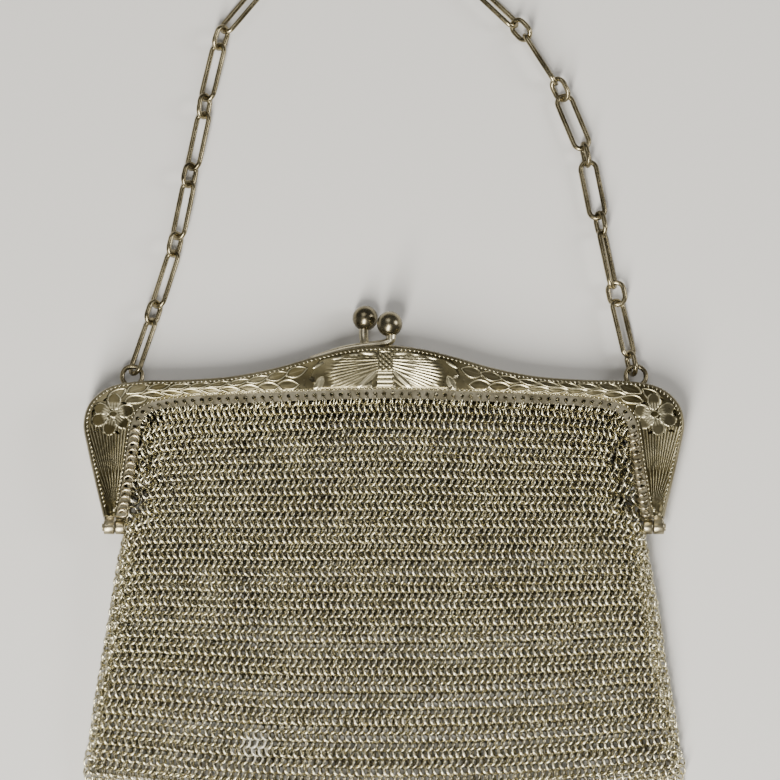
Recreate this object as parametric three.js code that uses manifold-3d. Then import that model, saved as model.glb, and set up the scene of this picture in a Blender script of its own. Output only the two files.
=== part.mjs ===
// An evening purse of linked metal rings, lying on its back.
// Two pressed frame halves close on each other and turn on a barrel hinge at the foot of each arm.
// Each half carries one arm and ball of the snap clasp, and the back half the two loops of the chain.
// The bag is a hollow wall of ring mesh whose open mouth sits behind the pierced strips of both halves.
// Ring points edge its foot, and the handle is a chain of long and short links in one loop.
// Millimetres. X runs across the purse, Y from the fringe to the chain, Z up from the surface it lies on.
import * as THREE from "three";
import { mergeVertices } from "three/addons/utils/BufferGeometryUtils.js";
import Module from "manifold-3d";

const wasm = await Module();
wasm.setup();

// Frame
const frameHalfWidth = 70;
const crownHeight = 40.4;
const hingeShare = 0.931;
const armFootWidth = 5.2;
const crownBand = 12.7;
const frameDepth = 10;
const partingGap = 0.4;
const sheet = 0.6;
const shoulderInset = 1.5;
const stripWidth = 2.1;
const stripDrop = 0.6;
const bandSteps = 32;

// Pierced strip that the ring mesh hangs from
const holeRadius = 0.5;
const frontHolePitch = 4.5;
const backHolePitch = 9;
const holeEndMargin = 2.4;

// Hinge
const clearance = 0.3;
const barrelRadius = 1.65;
const pinRadius = 0.6;
const pinHeadRadius = 1.3;
const pinHeadLength = 0.4;
const footHeight = 1.2;

// Clasp
const ballRadius = 3.0;
const ballRise = 1.9;
const claspCentre = -1.55;
const ballOffset = 2.87;
const ballStandoff = 5.4;
const backBallLift = 1.4;
const armReach = 15.7;
const armRise = 2.2;
const armTipRadius = 0.4;
const armRootRadius = 0.8;

// Chain and the loops that carry it
const loopRadius = 2.35;
const loopWireRadius = 0.55;
const loopRise = -2.2;
const loopShare = 0.843;
const loopStandoff = 1.75;
const loopLean = 20;
const loopPlay = 0.5;
const wireRadius = 0.6;
const longLinkLength = 14.9;
const shortLinkLength = 6.5;
const linkWidth = 4.9;
const solderBite = 0.26;
const slackShare = 0.4;

// Bag
const meshWall = 1.0;
const mouthTuck = 1.0;
const footSpread = 9.3;
const footDepth = 59;
const footSag = 4.6;
const foldThickness = 3.2;

// Fringe
const pointCount = 8;
const pointHeight = 11;
const pointShare = 0.6;
const fringeThickness = 1.5;
const fringeBand = 1.6;

const halfDepth = frameDepth / 2;
const hingeHalfWidth = hingeShare * frameHalfWidth;
const mouthHalfWidth = hingeHalfWidth - armFootWidth;
const mouthHeight = crownHeight - crownBand;
const footHalfWidth = mouthHalfWidth + footSpread;

const silver = new THREE.MeshStandardMaterial({ color: 0xa8a07c, roughness: 0.38, metalness: 1 });
const agedSilver = new THREE.MeshStandardMaterial({ color: 0x8f8868, roughness: 0.45, metalness: 1 });
const ringMesh = new THREE.MeshStandardMaterial({ color: 0xb3aa86, roughness: 0.4, metalness: 1 });
const chainMetal = new THREE.MeshStandardMaterial({ color: 0x8a8062, roughness: 0.42, metalness: 1 });

// Half of the frame's band from the top centre to the hinge, as shares of its half widths and heights
const bandStations = [
  { outerX: 0, outerY: 1, innerX: 0, innerY: 1 },
  { outerX: 0.114, outerY: 0.985, innerX: 0.125, innerY: 0.996 },
  { outerX: 0.229, outerY: 0.938, innerX: 0.25, innerY: 0.987 },
  { outerX: 0.357, outerY: 0.874, innerX: 0.4, innerY: 0.975 },
  { outerX: 0.5, outerY: 0.824, innerX: 0.567, innerY: 0.96 },
  { outerX: 0.657, outerY: 0.802, innerX: 0.733, innerY: 0.942 },
  { outerX: 0.8, outerY: 0.795, innerX: 0.86, innerY: 0.913 },
  { outerX: 0.909, outerY: 0.762, innerX: 0.915, innerY: 0.87 },
  { outerX: 0.977, outerY: 0.673, innerX: 0.942, innerY: 0.79 },
  { outerX: 1, outerY: 0.55, innerX: 0.952, innerY: 0.693 },
  { outerX: 0.987, outerY: 0.408, innerX: 0.96, innerY: 0.56 },
  { outerX: 0.961, outerY: 0.213, innerX: 0.977, innerY: 0.296 },
  { outerX: hingeShare, outerY: 0, innerX: 1, innerY: 0 },
];

// A closed mesh geometry as a solid, turned so that its faces point out
function solidOf(geometry) {
  const bare = new THREE.BufferGeometry().setAttribute("position", geometry.getAttribute("position"));
  if (geometry.index) bare.setIndex(geometry.index);
  const merged = mergeVertices(bare, 1e-4);
  const corners = Array.from(merged.index.array);
  const build = (order) =>
    new wasm.Manifold(
      new wasm.Mesh({
        numProp: 3,
        vertProperties: new Float32Array(merged.attributes.position.array),
        triVerts: new Uint32Array(order),
      }),
    );
  const solid = build(corners);
  return solid.volume() >= 0 ? solid : build(corners.reverse());
}

function meshOf(name, solid, material) {
  const { vertProperties, triVerts, numProp } = solid.getMesh();
  const points = new Float32Array(triVerts.length * 3);
  triVerts.forEach((v, i) => points.set(vertProperties.subarray(v * numProp, v * numProp + 3), i * 3));
  const geometry = new THREE.BufferGeometry().setAttribute("position", new THREE.BufferAttribute(points, 3));
  geometry.computeVertexNormals();
  const mesh = new THREE.Mesh(geometry, material);
  mesh.name = name;
  return mesh;
}

const joined = (solids) => solids.reduce((sum, next) => sum.add(next));

// Closed loops of points joined one to the next, with each end filled over the flat outline given, or closed in a ring
function skin(loops, outline) {
  const count = loops[0].length;
  const points = loops.flat().flatMap((p) => [p.x, p.y, p.z]);
  const corners = [];
  const spans = outline ? loops.length - 1 : loops.length;
  for (let i = 0; i < spans; i++) {
    const here = i * count;
    const there = ((i + 1) % loops.length) * count;
    for (let k = 0; k < count; k++) {
      const next = (k + 1) % count;
      corners.push(here + k, there + k, there + next, here + k, there + next, here + next);
    }
  }
  if (outline) {
    const last = (loops.length - 1) * count;
    const clockwise = THREE.ShapeUtils.isClockWise(outline);
    for (const face of THREE.ShapeUtils.triangulateShape(outline, [])) {
      const [a, b, c] = clockwise ? face.reverse() : face;
      corners.push(a, b, c, last + a, last + c, last + b);
    }
  }
  const geometry = new THREE.BufferGeometry();
  geometry.setAttribute("position", new THREE.BufferAttribute(new Float32Array(points), 3));
  geometry.setIndex(corners);
  return solidOf(geometry);
}

function roundOutline(sides) {
  return Array.from({ length: sides }, (_, k) => {
    const turn = (2 * Math.PI * k) / sides;
    return new THREE.Vector2(Math.cos(turn), Math.sin(turn));
  });
}

// A round wire along a curve, with a radius for each share of its length
function wire(curve, steps, sides, radiusAt) {
  const outline = roundOutline(sides);
  const frames = curve.computeFrenetFrames(steps, false);
  const loops = [];
  for (let i = 0; i <= steps; i++) {
    const centre = curve.getPointAt(i / steps);
    const radius = radiusAt(i / steps);
    loops.push(
      outline.map((o) =>
        centre
          .clone()
          .addScaledVector(frames.normals[i], o.x * radius)
          .addScaledVector(frames.binormals[i], o.y * radius),
      ),
    );
  }
  return skin(loops, outline);
}

function block(x0, x1, y0, y1, z0, z1) {
  const box = new THREE.BoxGeometry(x1 - x0, y1 - y0, z1 - z0);
  box.translate((x0 + x1) / 2, (y0 + y1) / 2, (z0 + z1) / 2);
  return solidOf(box);
}

// The frame's band, from the left hinge over the crown to the right hinge
const smooth = (points) => new THREE.CatmullRomCurve3(points, false, "catmullrom", 0.5);
const bothSides = (point) => [
  ...bandStations.slice(1).reverse().map((s) => point(s).multiply(new THREE.Vector3(-1, 1, 1))),
  ...bandStations.map(point),
];
const outerEdge = smooth(
  bothSides((s) => new THREE.Vector3(s.outerX * frameHalfWidth, s.outerY * crownHeight, 0)),
);
const innerEdge = smooth(
  bothSides((s) => new THREE.Vector3(s.innerX * mouthHalfWidth, s.innerY * mouthHeight, 0)),
);

function bandAt(share) {
  const outer = outerEdge.getPoint(share);
  const inner = innerEdge.getPoint(share);
  const across = inner.clone().sub(outer);
  return { outer, inner, width: across.length(), inward: across.normalize() };
}

// Height of an edge over a place across the purse, on the stretch above the shoulders
function edgeOver(edge, x) {
  let low = 0.2;
  let high = 0.8;
  for (let i = 0; i < 40; i++) {
    const middle = (low + high) / 2;
    if (edge.getPoint(middle).x < x) low = middle;
    else high = middle;
  }
  return edge.getPoint((low + high) / 2);
}

// Section of one half: how far in from the outer or inner edge, and how high above the parting face
const stripRise = halfDepth - stripDrop;
const beadRise = halfDepth * 0.95;
const frameSection = [
  { from: "outer", inset: 0, rise: partingGap / 2 },
  { from: "outer", inset: 0, rise: halfDepth * 0.55 },
  { from: "outer", inset: shoulderInset * 0.6, rise: halfDepth * 0.88 },
  { from: "middle", inset: 0, rise: halfDepth },
  { from: "inner", inset: stripWidth + clearance, rise: beadRise },
  { from: "inner", inset: stripWidth, rise: stripRise },
  { from: "inner", inset: 0, rise: stripRise },
  { from: "inner", inset: 0, rise: stripRise - sheet },
  { from: "inner", inset: stripWidth + clearance, rise: stripRise - sheet },
  { from: "middle", inset: 0, rise: halfDepth - sheet },
  { from: "outer", inset: shoulderInset * 0.6 + sheet * 0.6, rise: halfDepth * 0.88 - sheet },
  { from: "outer", inset: sheet, rise: halfDepth * 0.55 - sheet * 0.2 },
  { from: "outer", inset: sheet, rise: partingGap / 2 },
];

function bandPoint(band, row, side) {
  const faceWidth = band.width - shoulderInset - stripWidth - clearance;
  const inset = {
    outer: row.inset,
    middle: shoulderInset + faceWidth / 2,
    inner: band.width - row.inset,
  }[row.from];
  const point = band.outer.clone().addScaledVector(band.inward, inset);
  point.z = halfDepth + side * row.rise;
  return point;
}

function frameShell(side) {
  const loops = [];
  for (let i = 0; i <= bandSteps; i++) {
    const band = bandAt(i / bandSteps);
    loops.push(frameSection.map((row) => bandPoint(band, row, side)));
  }
  const outline = loops[0].map((p) => new THREE.Vector2(Math.abs(p.x), p.z));
  return skin(loops, outline);
}

// Small drums through the strip, one for each ring that holds the mesh
function stripHoles(side, pitch) {
  const steps = 400;
  const middle = Array.from({ length: steps + 1 }, (_, i) =>
    bandPoint(bandAt(i / steps), { from: "inner", inset: stripWidth / 2, rise: stripRise }, side),
  );
  const line = new THREE.CatmullRomCurve3(middle);
  line.arcLengthDivisions = steps;
  const length = line.getLength() - 2 * holeEndMargin;
  const count = Math.floor(length / pitch) + 1;
  const start = (line.getLength() - (count - 1) * pitch) / 2;
  return Array.from({ length: count }, (_, i) => {
    const drum = new THREE.CylinderGeometry(holeRadius, holeRadius, sheet * 4, 4);
    drum.rotateX(Math.PI / 2);
    const place = line.getPointAt((start + i * pitch) / line.getLength());
    drum.translate(place.x, place.y, place.z);
    return solidOf(drum);
  });
}

// One barrel of the hinge with the foot that closes the arm's end and the neck between them
function hingeEnd(hand, side, inner) {
  const innerX = mouthHalfWidth + clearance;
  const outerX = hingeHalfWidth - clearance;
  const seam = (innerX + outerX) / 2;
  const [from, to] = inner ? [innerX, seam - clearance / 2] : [seam + clearance / 2, outerX + clearance];
  const axisY = -barrelRadius - clearance;
  const barrel = new THREE.CylinderGeometry(barrelRadius, barrelRadius, to - from, 12);
  barrel.rotateZ(Math.PI / 2);
  barrel.translate((from + to) / 2, axisY, halfDepth);
  const bore = new THREE.CylinderGeometry(pinRadius + clearance, pinRadius + clearance, to - from + 2, 8);
  bore.rotateZ(Math.PI / 2);
  bore.translate((from + to) / 2, axisY, halfDepth);
  const low = partingGap / 2;
  const foot = block(innerX, outerX, 0, footHeight, low, stripRise - sheet / 2);
  const neck = block(from + 0.02, Math.min(to, outerX) - 0.02, axisY, footHeight / 2, low, barrelRadius - 0.1);
  const lifted = joined([foot, neck]).scale([1, 1, side]).translate([0, 0, halfDepth]);
  return joined([solidOf(barrel), lifted]).subtract(solidOf(bore)).scale([hand, 1, 1]);
}

function hingePin(hand) {
  const innerX = mouthHalfWidth + clearance / 2;
  const outerX = hingeHalfWidth + clearance;
  const axisY = -barrelRadius - clearance;
  const shaft = [
    new THREE.Vector2(0, innerX),
    new THREE.Vector2(pinRadius, innerX),
    new THREE.Vector2(pinRadius, outerX),
    new THREE.Vector2(pinHeadRadius, outerX),
    new THREE.Vector2(pinHeadRadius, outerX + pinHeadLength * 0.5),
    new THREE.Vector2(pinHeadRadius * 0.6, outerX + pinHeadLength),
    new THREE.Vector2(0, outerX + pinHeadLength),
  ];
  const lathe = new THREE.LatheGeometry(shaft, 8);
  lathe.rotateZ(-Math.PI / 2);
  lathe.translate(0, axisY, halfDepth);
  return solidOf(lathe).scale([hand, 1, 1]);
}

// Clasp arm soldered along the crown, curling up to its ball; the back one is turned round and stands higher
function claspHalf(side) {
  const hand = side;
  const lift = side > 0 ? 0 : backBallLift;
  const alongCrown = [
    { reach: 1, off: 0 },
    { reach: 0.66, off: 0.1 },
    { reach: 0.32, off: 0.25 },
    { reach: 0.04, off: 0.55 },
  ].map(({ reach, off }) => {
    const place = edgeOver(outerEdge, claspCentre - hand * reach * armReach);
    return new THREE.Vector3(place.x, place.y + off, halfDepth + side * armRise);
  });
  const ball = new THREE.Vector3(
    claspCentre + hand * ballOffset,
    crownHeight + ballStandoff + lift,
    halfDepth + side * ballRise,
  );
  const curl = new THREE.Vector3(ball.x - hand * 0.2, crownHeight + armRise * 0.55, ball.z);
  const stem = new THREE.Vector3(ball.x + hand * 0.35, ball.y - ballRadius * 0.9, ball.z);
  const arm = wire(smooth([...alongCrown, curl, stem, ball]), 12, 6, (share) =>
    THREE.MathUtils.lerp(armTipRadius, armRootRadius, Math.min(1, share * 1.4)),
  );
  const knob = new THREE.SphereGeometry(ballRadius, 12, 8);
  knob.translate(ball.x, ball.y, ball.z);
  return joined([arm, solidOf(knob)]);
}

// Chain loops soldered to the top of the back half
const loopX = loopShare * frameHalfWidth;
const loopY = edgeOver(outerEdge, loopX).y + loopStandoff;
const loopZ = halfDepth + loopRise;

function chainLoop(hand) {
  const ring = new THREE.TorusGeometry(loopRadius, loopWireRadius, 5, 12);
  ring.translate(hand * loopX, loopY, loopZ);
  return solidOf(ring);
}

// Low relief of the front: a butterfly at the crown, leaves along the top, a flower on each shoulder, reeds down the arms
const reliefRise = 0.3;
const reliefBite = 0.1;

// A low faceted boss, round or long, laid on the face of the front half
function boss(x, y, length, width, turn, rise, sides, face = frameDepth) {
  const shape = new THREE.SphereGeometry(1, sides, 2);
  shape.rotateX(Math.PI / 2);
  shape.scale(length / 2, width / 2, rise);
  shape.rotateZ(turn);
  shape.translate(x, y, face - reliefBite);
  return solidOf(shape);
}

function butterfly(centreY) {
  const wing = new THREE.Shape();
  wing.moveTo(1.4, 2.2);
  wing.quadraticCurveTo(7, 4.6, 12.6, 3.2);
  wing.quadraticCurveTo(17.2, 1.6, 15.6, -1.8);
  wing.quadraticCurveTo(13.6, -3.6, 9, -2.7);
  wing.lineTo(1.4, -0.6);
  wing.closePath();
  const plate = new THREE.ExtrudeGeometry(wing, { depth: reliefRise + 0.3, bevelEnabled: false, curveSegments: 3 });
  plate.translate(0, centreY, frameDepth - 0.3);
  const right = solidOf(plate);
  return [
    right,
    right.scale([-1, 1, 1]),
    boss(0, centreY + 1.4, 2.6, 5, 0, reliefRise + 0.4, 8),
    boss(0, centreY - 2.4, 2.2, 3.4, 0, reliefRise + 0.3, 8),
  ];
}

function flower(centre, petals) {
  const bosses = [boss(centre.x, centre.y, 2.2, 2, 0, reliefRise + 0.2, 5)];
  for (let k = 0; k < petals; k++) {
    const turn = (2 * Math.PI * (k + 0.25)) / petals;
    const x = centre.x + 2.55 * Math.cos(turn);
    const y = centre.y + 2.55 * Math.sin(turn);
    bosses.push(boss(x, y, 2.9, 2.6, turn, reliefRise, 5));
  }
  return bosses;
}

const faceMiddle = (share) => bandPoint(bandAt(share), { from: "middle", inset: 0, rise: halfDepth }, 1);

function leaves(hand) {
  const rows = 5;
  const first = 0.1;
  const last = 0.262;
  const made = [];
  for (let i = 0; i < rows; i++) {
    const share = 0.5 + hand * THREE.MathUtils.lerp(first, last, i / (rows - 1));
    const place = faceMiddle(share);
    const ahead = faceMiddle(share + hand * 0.01);
    const turn = Math.atan2(ahead.y - place.y, ahead.x - place.x);
    const aside = new THREE.Vector2(-Math.sin(turn), Math.cos(turn)).multiplyScalar(0.75);
    for (const lean of [1, -1]) {
      made.push(boss(place.x + lean * aside.x, place.y + lean * aside.y, 3.6, 1.3, turn + lean * 0.45, 0.28, 4));
    }
  }
  return made;
}

function reeds(hand) {
  return [0.3, 0.5, 0.7].map((lane) => {
    const face = frameDepth - halfDepth * 0.2 * Math.abs(lane - 0.5);
    const at = (share) => {
      const band = bandAt(0.5 + hand * share);
      const faceWidth = band.width - shoulderInset - stripWidth - clearance;
      return band.outer.clone().addScaledVector(band.inward, shoulderInset + faceWidth * lane);
    };
    const top = at(0.405);
    const foot = at(0.485);
    const run = foot.clone().sub(top);
    const middle = top.clone().add(foot).multiplyScalar(0.5);
    return boss(middle.x, middle.y, run.length(), 0.6, Math.atan2(run.y, run.x), reliefRise, 4, face);
  });
}

// Openings sawn through the face beside the wings and round the flowers
function piercings(flowers, butterflyY) {
  const places = [
    { x: -3.1, y: butterflyY - 2.6, size: 0.9 },
    { x: 3.1, y: butterflyY - 2.6, size: 0.8 },
    { x: -17.2, y: butterflyY - 1, size: 0.7 },
    { x: 17.4, y: butterflyY - 0.6, size: 0.7 },
    { x: -15.4, y: butterflyY - 3.3, size: 0.6 },
    { x: 15.6, y: butterflyY - 3.3, size: 0.7 },
  ];
  for (const centre of flowers) {
    const hand = Math.sign(centre.x);
    for (const turn of [0.05, -0.9, 2.4, -2.3]) {
      places.push({ x: centre.x + hand * 4.4 * Math.cos(turn), y: centre.y + 4.1 * Math.sin(turn), size: 0.6 });
    }
  }
  return places.map(({ x, y, size }) => {
    const drum = new THREE.CylinderGeometry(size, size, sheet * 8, 4);
    drum.rotateX(Math.PI / 2);
    drum.translate(x, y, frameDepth - sheet);
    return solidOf(drum);
  });
}

function frontFrame() {
  const crown = faceMiddle(0.5);
  const flowers = [faceMiddle(0.5 - 0.345), faceMiddle(0.5 + 0.345)];
  const relief = [
    ...butterfly(crown.y),
    ...flowers.flatMap((centre) => flower(centre, 5)),
    ...[-1, 1].flatMap((hand) => [...leaves(hand), ...reeds(hand)]),
  ];
  const parts = [frameShell(1), ...relief, hingeEnd(-1, 1, false), hingeEnd(1, 1, false), claspHalf(1)];
  const cuts = [...stripHoles(1, frontHolePitch), ...piercings(flowers, crown.y)];
  return joined(parts).subtract(joined(cuts));
}

function backFrame() {
  const parts = [
    frameShell(-1),
    hingeEnd(-1, -1, true),
    hingeEnd(1, -1, true),
    claspHalf(-1),
    chainLoop(-1),
    chainLoop(1),
  ];
  return joined(parts).subtract(joined(stripHoles(-1, backHolePitch)));
}

// Bag rows from the mouth to the foot: share of the way down, lowest and highest point of the section
const seatBack = halfDepth - (stripRise - sheet) + clearance;
const seatFront = frameDepth - seatBack;
const bagRows = [
  { down: 0, low: seatBack, high: seatFront },
  { down: 0.06, low: seatBack, high: seatFront },
  { down: 0.16, low: seatBack * 0.3, high: seatFront * 0.99 },
  { down: 0.26, low: 0, high: seatFront * 0.97 },
  { down: 0.36, low: 0, high: seatFront * 0.96 },
  { down: 0.5, low: 0, high: seatFront * 0.93 },
  { down: 0.64, low: 0, high: seatFront * 0.84 },
  { down: 0.78, low: 0, high: seatFront * 0.73 },
  { down: 0.9, low: 0, high: seatFront * 0.6 },
  { down: 0.97, low: 0, high: seatFront * 0.48 },
  { down: 1, low: foldThickness * 0.15, high: foldThickness },
];

// Soft folds of the front wall: place across as a share of the half width, depth, half width, and where it fades out
const bagFolds = [
  { across: 0.22, depth: -0.4, spread: 0.16, from: 0.1, to: 0.75 },
  { across: -0.05, depth: 0.35, spread: 0.14, from: 0.12, to: 0.9 },
  { across: -0.42, depth: -0.4, spread: 0.12, from: 0.12, to: 0.5 },
  { across: 0.62, depth: -0.35, spread: 0.14, from: 0.2, to: 0.95 },
  { across: -0.68, depth: 0.3, spread: 0.15, from: 0.3, to: 1.0 },
];

function foldAt(across, down) {
  return bagFolds.reduce((sum, fold) => {
    const aside = Math.min(1, Math.abs(across - fold.across) / fold.spread);
    const along = THREE.MathUtils.clamp((down - fold.from) / (fold.to - fold.from), 0, 1);
    return sum + fold.depth * Math.cos((aside * Math.PI) / 2) ** 2 * Math.sin(along * Math.PI);
  }, 0);
}

// The side of the bag: behind the arms down to the hinge, clear of the barrels, then spreading to the foot
const cornerShare = 0.84;
const corner = innerEdge.getPoint(cornerShare);
const hingeClear = mouthHalfWidth - clearance;
const sideEdge = smooth([
  new THREE.Vector3(corner.x + mouthTuck, corner.y, 0),
  new THREE.Vector3((corner.x + mouthTuck + hingeClear) / 2, corner.y * 0.45, 0),
  new THREE.Vector3(hingeClear, 0, 0),
  new THREE.Vector3(hingeClear, -2 * barrelRadius - clearance, 0),
  new THREE.Vector3(THREE.MathUtils.lerp(hingeClear, footHalfWidth, 0.25), -footDepth * 0.27, 0),
  new THREE.Vector3(THREE.MathUtils.lerp(hingeClear, footHalfWidth, 0.62), -footDepth * 0.64, 0),
  new THREE.Vector3(footHalfWidth, -footDepth, 0),
]);

function sideAt(y) {
  let low = 0;
  let high = 1;
  for (let i = 0; i < 30; i++) {
    const middle = (low + high) / 2;
    if (sideEdge.getPoint(middle).y > y) low = middle;
    else high = middle;
  }
  return sideEdge.getPoint((low + high) / 2).x;
}

// A point of the bag's outline plan: across from -1 to 1, down from 0 at the mouth to 1 at the foot
const sideTop = sideEdge.getPoint(0);
function bagPlan(across, down) {
  const topX = across * sideTop.x;
  const top = edgeOver(innerEdge, THREE.MathUtils.clamp(topX, -corner.x, corner.x));
  const rounding = Math.max(0, Math.abs(topX) - corner.x) / mouthTuck;
  const topY = top.y + mouthTuck * Math.sqrt(1 - Math.min(1, rounding) ** 2);
  const footY = -footDepth - footSag * (1 - across * across);
  const half = sideAt(THREE.MathUtils.lerp(sideTop.y, -footDepth, down));
  return new THREE.Vector3(across * half, THREE.MathUtils.lerp(topY, footY, down), 0);
}

const acrossSteps = 8;
const foldSteps = 3;

// One row of the bag: flat back, round side fold, front with its soft folds, round side fold
function bagRow(row, inset) {
  const reach = sideAt(THREE.MathUtils.lerp(sideTop.y, -footDepth, row.down));
  const round = Math.min(3, (row.high - row.low) / 2);
  const flat = 1 - round / reach;
  const low = row.low + inset;
  const high = row.high - inset;
  const middle = (low + high) / 2;
  const half = (high - low) / 2;
  const shrink = (reach - inset) / reach;
  const place = (across, z) => {
    const p = bagPlan(across, row.down);
    return new THREE.Vector3(p.x * shrink, p.y, z);
  };
  const loop = [];
  for (let i = 0; i <= acrossSteps; i++) {
    loop.push(place(THREE.MathUtils.lerp(-flat, flat, i / acrossSteps), low));
  }
  for (let i = 1; i < 2 * foldSteps; i++) {
    const turn = -Math.PI / 2 + (Math.PI * i) / (2 * foldSteps);
    loop.push(place(flat + (1 - flat) * Math.cos(turn), middle + half * Math.sin(turn)));
  }
  for (let i = acrossSteps; i >= 0; i--) {
    const across = THREE.MathUtils.lerp(-flat, flat, i / acrossSteps);
    loop.push(place(across, high + foldAt(across, row.down)));
  }
  for (let i = 1; i < 2 * foldSteps; i++) {
    const turn = Math.PI / 2 + (Math.PI * i) / (2 * foldSteps);
    loop.push(place(-flat + (1 - flat) * Math.cos(turn), middle + half * Math.sin(turn)));
  }
  return loop;
}

function bagSkin(rows, inset) {
  const loops = rows.map((row) => bagRow(row, inset));
  const outline = loops[0].map((p) => new THREE.Vector2(p.x, p.z));
  return skin(loops, outline);
}

function meshBag() {
  const outer = bagSkin(bagRows, 0);
  const bagHeight = mouthHeight + footDepth + footSag;
  const hollowRows = bagRows
    .slice(0, -1)
    .map((row) => ({ ...row, down: Math.min(row.down, 1 - (1.5 * meshWall) / bagHeight) }));
  const aboveMouth = { ...bagRows[0], down: -0.06 };
  const hollow = bagSkin([aboveMouth, ...hollowRows], meshWall);
  const wide = frameHalfWidth;
  const mouth = block(-wide, wide, clearance, crownHeight, seatBack + meshWall, seatFront - meshWall);
  return outer.subtract(hollow).subtract(mouth);
}

// Ring points on one band along the foot of the bag
function ringFringe() {
  const top = (across) => -footDepth - footSag * (1 - across * across) - clearance;
  const outline = new THREE.Shape();
  const bandRun = 24;
  outline.moveTo(-footHalfWidth, top(-1));
  for (let i = 1; i <= bandRun; i++) {
    const across = -1 + (2 * i) / bandRun;
    outline.lineTo(across * footHalfWidth, top(across));
  }
  const pitch = 2 / (pointCount - 1 + pointShare);
  for (let k = pointCount - 1; k >= 0; k--) {
    const left = -1 + k * pitch;
    const right = left + pitch * pointShare;
    const middle = (left + right) / 2;
    const tip = (right - left) * 0.12;
    outline.lineTo(right * footHalfWidth, top(right) - fringeBand);
    outline.lineTo((middle + tip) * footHalfWidth, top(middle) - fringeBand - pointHeight);
    outline.lineTo((middle - tip) * footHalfWidth, top(middle) - fringeBand - pointHeight);
    outline.lineTo(left * footHalfWidth, top(left) - fringeBand);
  }
  outline.closePath();
  return solidOf(new THREE.ExtrudeGeometry(outline, { depth: fringeThickness, bevelEnabled: false }));
}

// Route of the chain over the surface, as shares of the loops' half spacing and of its own reach above them
const chainRoute = [
  { across: -0.925, up: 0.11 },
  { across: -0.84, up: 0.27 },
  { across: -0.788, up: 0.42 },
  { across: -0.733, up: 0.57 },
  { across: -0.68, up: 0.71 },
  { across: -0.57, up: 0.85 },
  { across: -0.33, up: 0.965 },
  { across: -0.03, up: 1 },
  { across: 0.26, up: 0.945 },
  { across: 0.475, up: 0.83 },
  { across: 0.6, up: 0.72 },
  { across: 0.745, up: 0.56 },
  { across: 0.81, up: 0.42 },
  { across: 0.865, up: 0.27 },
  { across: 0.93, up: 0.12 },
];

// How far each long link and the short one after it are rolled out of flat, in degrees, from left to right
const linkRolls = [
  { long: -72, short: 50 },
  { long: -43, short: 53 },
  { long: -41, short: 50 },
  { long: -39, short: 55 },
  { long: -36, short: 52 },
  { long: -42, short: 48 },
  { long: -38, short: 54 },
  { long: -44, short: 47 },
  { long: -40, short: 52 },
  { long: -52, short: 40 },
  { long: -80, short: 45 },
  { long: -5, short: 78 },
  { long: 4, short: 63 },
  { long: -66, short: 8 },
  { long: -45, short: 78 },
];

// Links from the left loop to the right one: length and roll of each, and how far a neighbour sits off its middle
function linkList() {
  const degree = Math.PI / 180;
  return linkRolls.flatMap((unit, k) => [
    { length: longLinkLength, roll: unit.long * degree, aside: 0 },
    { length: shortLinkLength, roll: unit.short * degree, aside: k < linkRolls.length - 1 ? slackShare : 0 },
  ]);
}

const bendRadius = linkWidth / 2 - wireRadius;

// A neighbour's wire may sit off a link's middle line by aside, so the span between the two contacts is a little less
const spanOf = (link) =>
  link.length - linkWidth + 2 * Math.sqrt(bendRadius ** 2 - link.aside ** 2) + 2 * wireRadius - 4 * wireRadius + solderBite;
const restHeight = (link) => bendRadius * Math.abs(Math.sin(link.roll)) + wireRadius;
const contactHeight = (link) => restHeight(link) - link.aside * Math.abs(Math.sin(link.roll));

// Contact points from loop to loop for one reach; null once the route is too short
function contactsFor(links, reach) {
  const lean = THREE.MathUtils.degToRad(loopLean);
  const startX = loopX - loopRadius * Math.sin(lean);
  const start = new THREE.Vector3(-startX, loopY + loopRadius * Math.cos(lean), 0);
  const away = loopWireRadius + loopPlay + solderBite / 2;
  const place = (p) => new THREE.Vector3(p.across * loopX, start.y + p.up * reach, 0);
  const inner = chainRoute.map(place);
  const leave = (from, to) => from.clone().addScaledVector(to.clone().sub(from).normalize(), -away);
  const end = new THREE.Vector3(startX, start.y, 0);
  const route = smooth([leave(start, inner[0]), ...inner, leave(end, inner.at(-1))]);
  route.arcLengthDivisions = 1200;
  const total = route.getLength();
  const heights = links.slice(1).map((link, j) => Math.max(contactHeight(links[j]), contactHeight(link)));
  const level = [loopZ, ...heights, loopZ];
  const points = [route.getPointAt(0).setZ(level[0])];
  let run = 0;
  for (let j = 0; j < links.length; j++) {
    const span = spanOf(links[j]);
    const flat = Math.sqrt(span ** 2 - (level[j + 1] - level[j]) ** 2);
    const here = points[j].clone().setZ(0);
    let low = run;
    let high = run + flat * 1.2;
    if (low + flat * 0.99 > total) return { points: null, spare: total - run - flat * (links.length - j) };
    for (let i = 0; i < 30; i++) {
      const middle = (low + high) / 2;
      const there = route.getPointAt(Math.min(1, middle / total));
      const beyond = Math.max(0, middle - total);
      if (there.distanceTo(here) + beyond < flat) low = middle;
      else high = middle;
    }
    run = high;
    points.push(route.getPointAt(Math.min(1, run / total)).setZ(level[j + 1]));
  }
  return { points, spare: total - run };
}

function chainContacts(links) {
  let low = 40;
  let high = 400;
  for (let i = 0; i < 40; i++) {
    const middle = (low + high) / 2;
    if (contactsFor(links, middle).spare < 0) low = middle;
    else high = middle;
  }
  return contactsFor(links, high).points;
}

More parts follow.
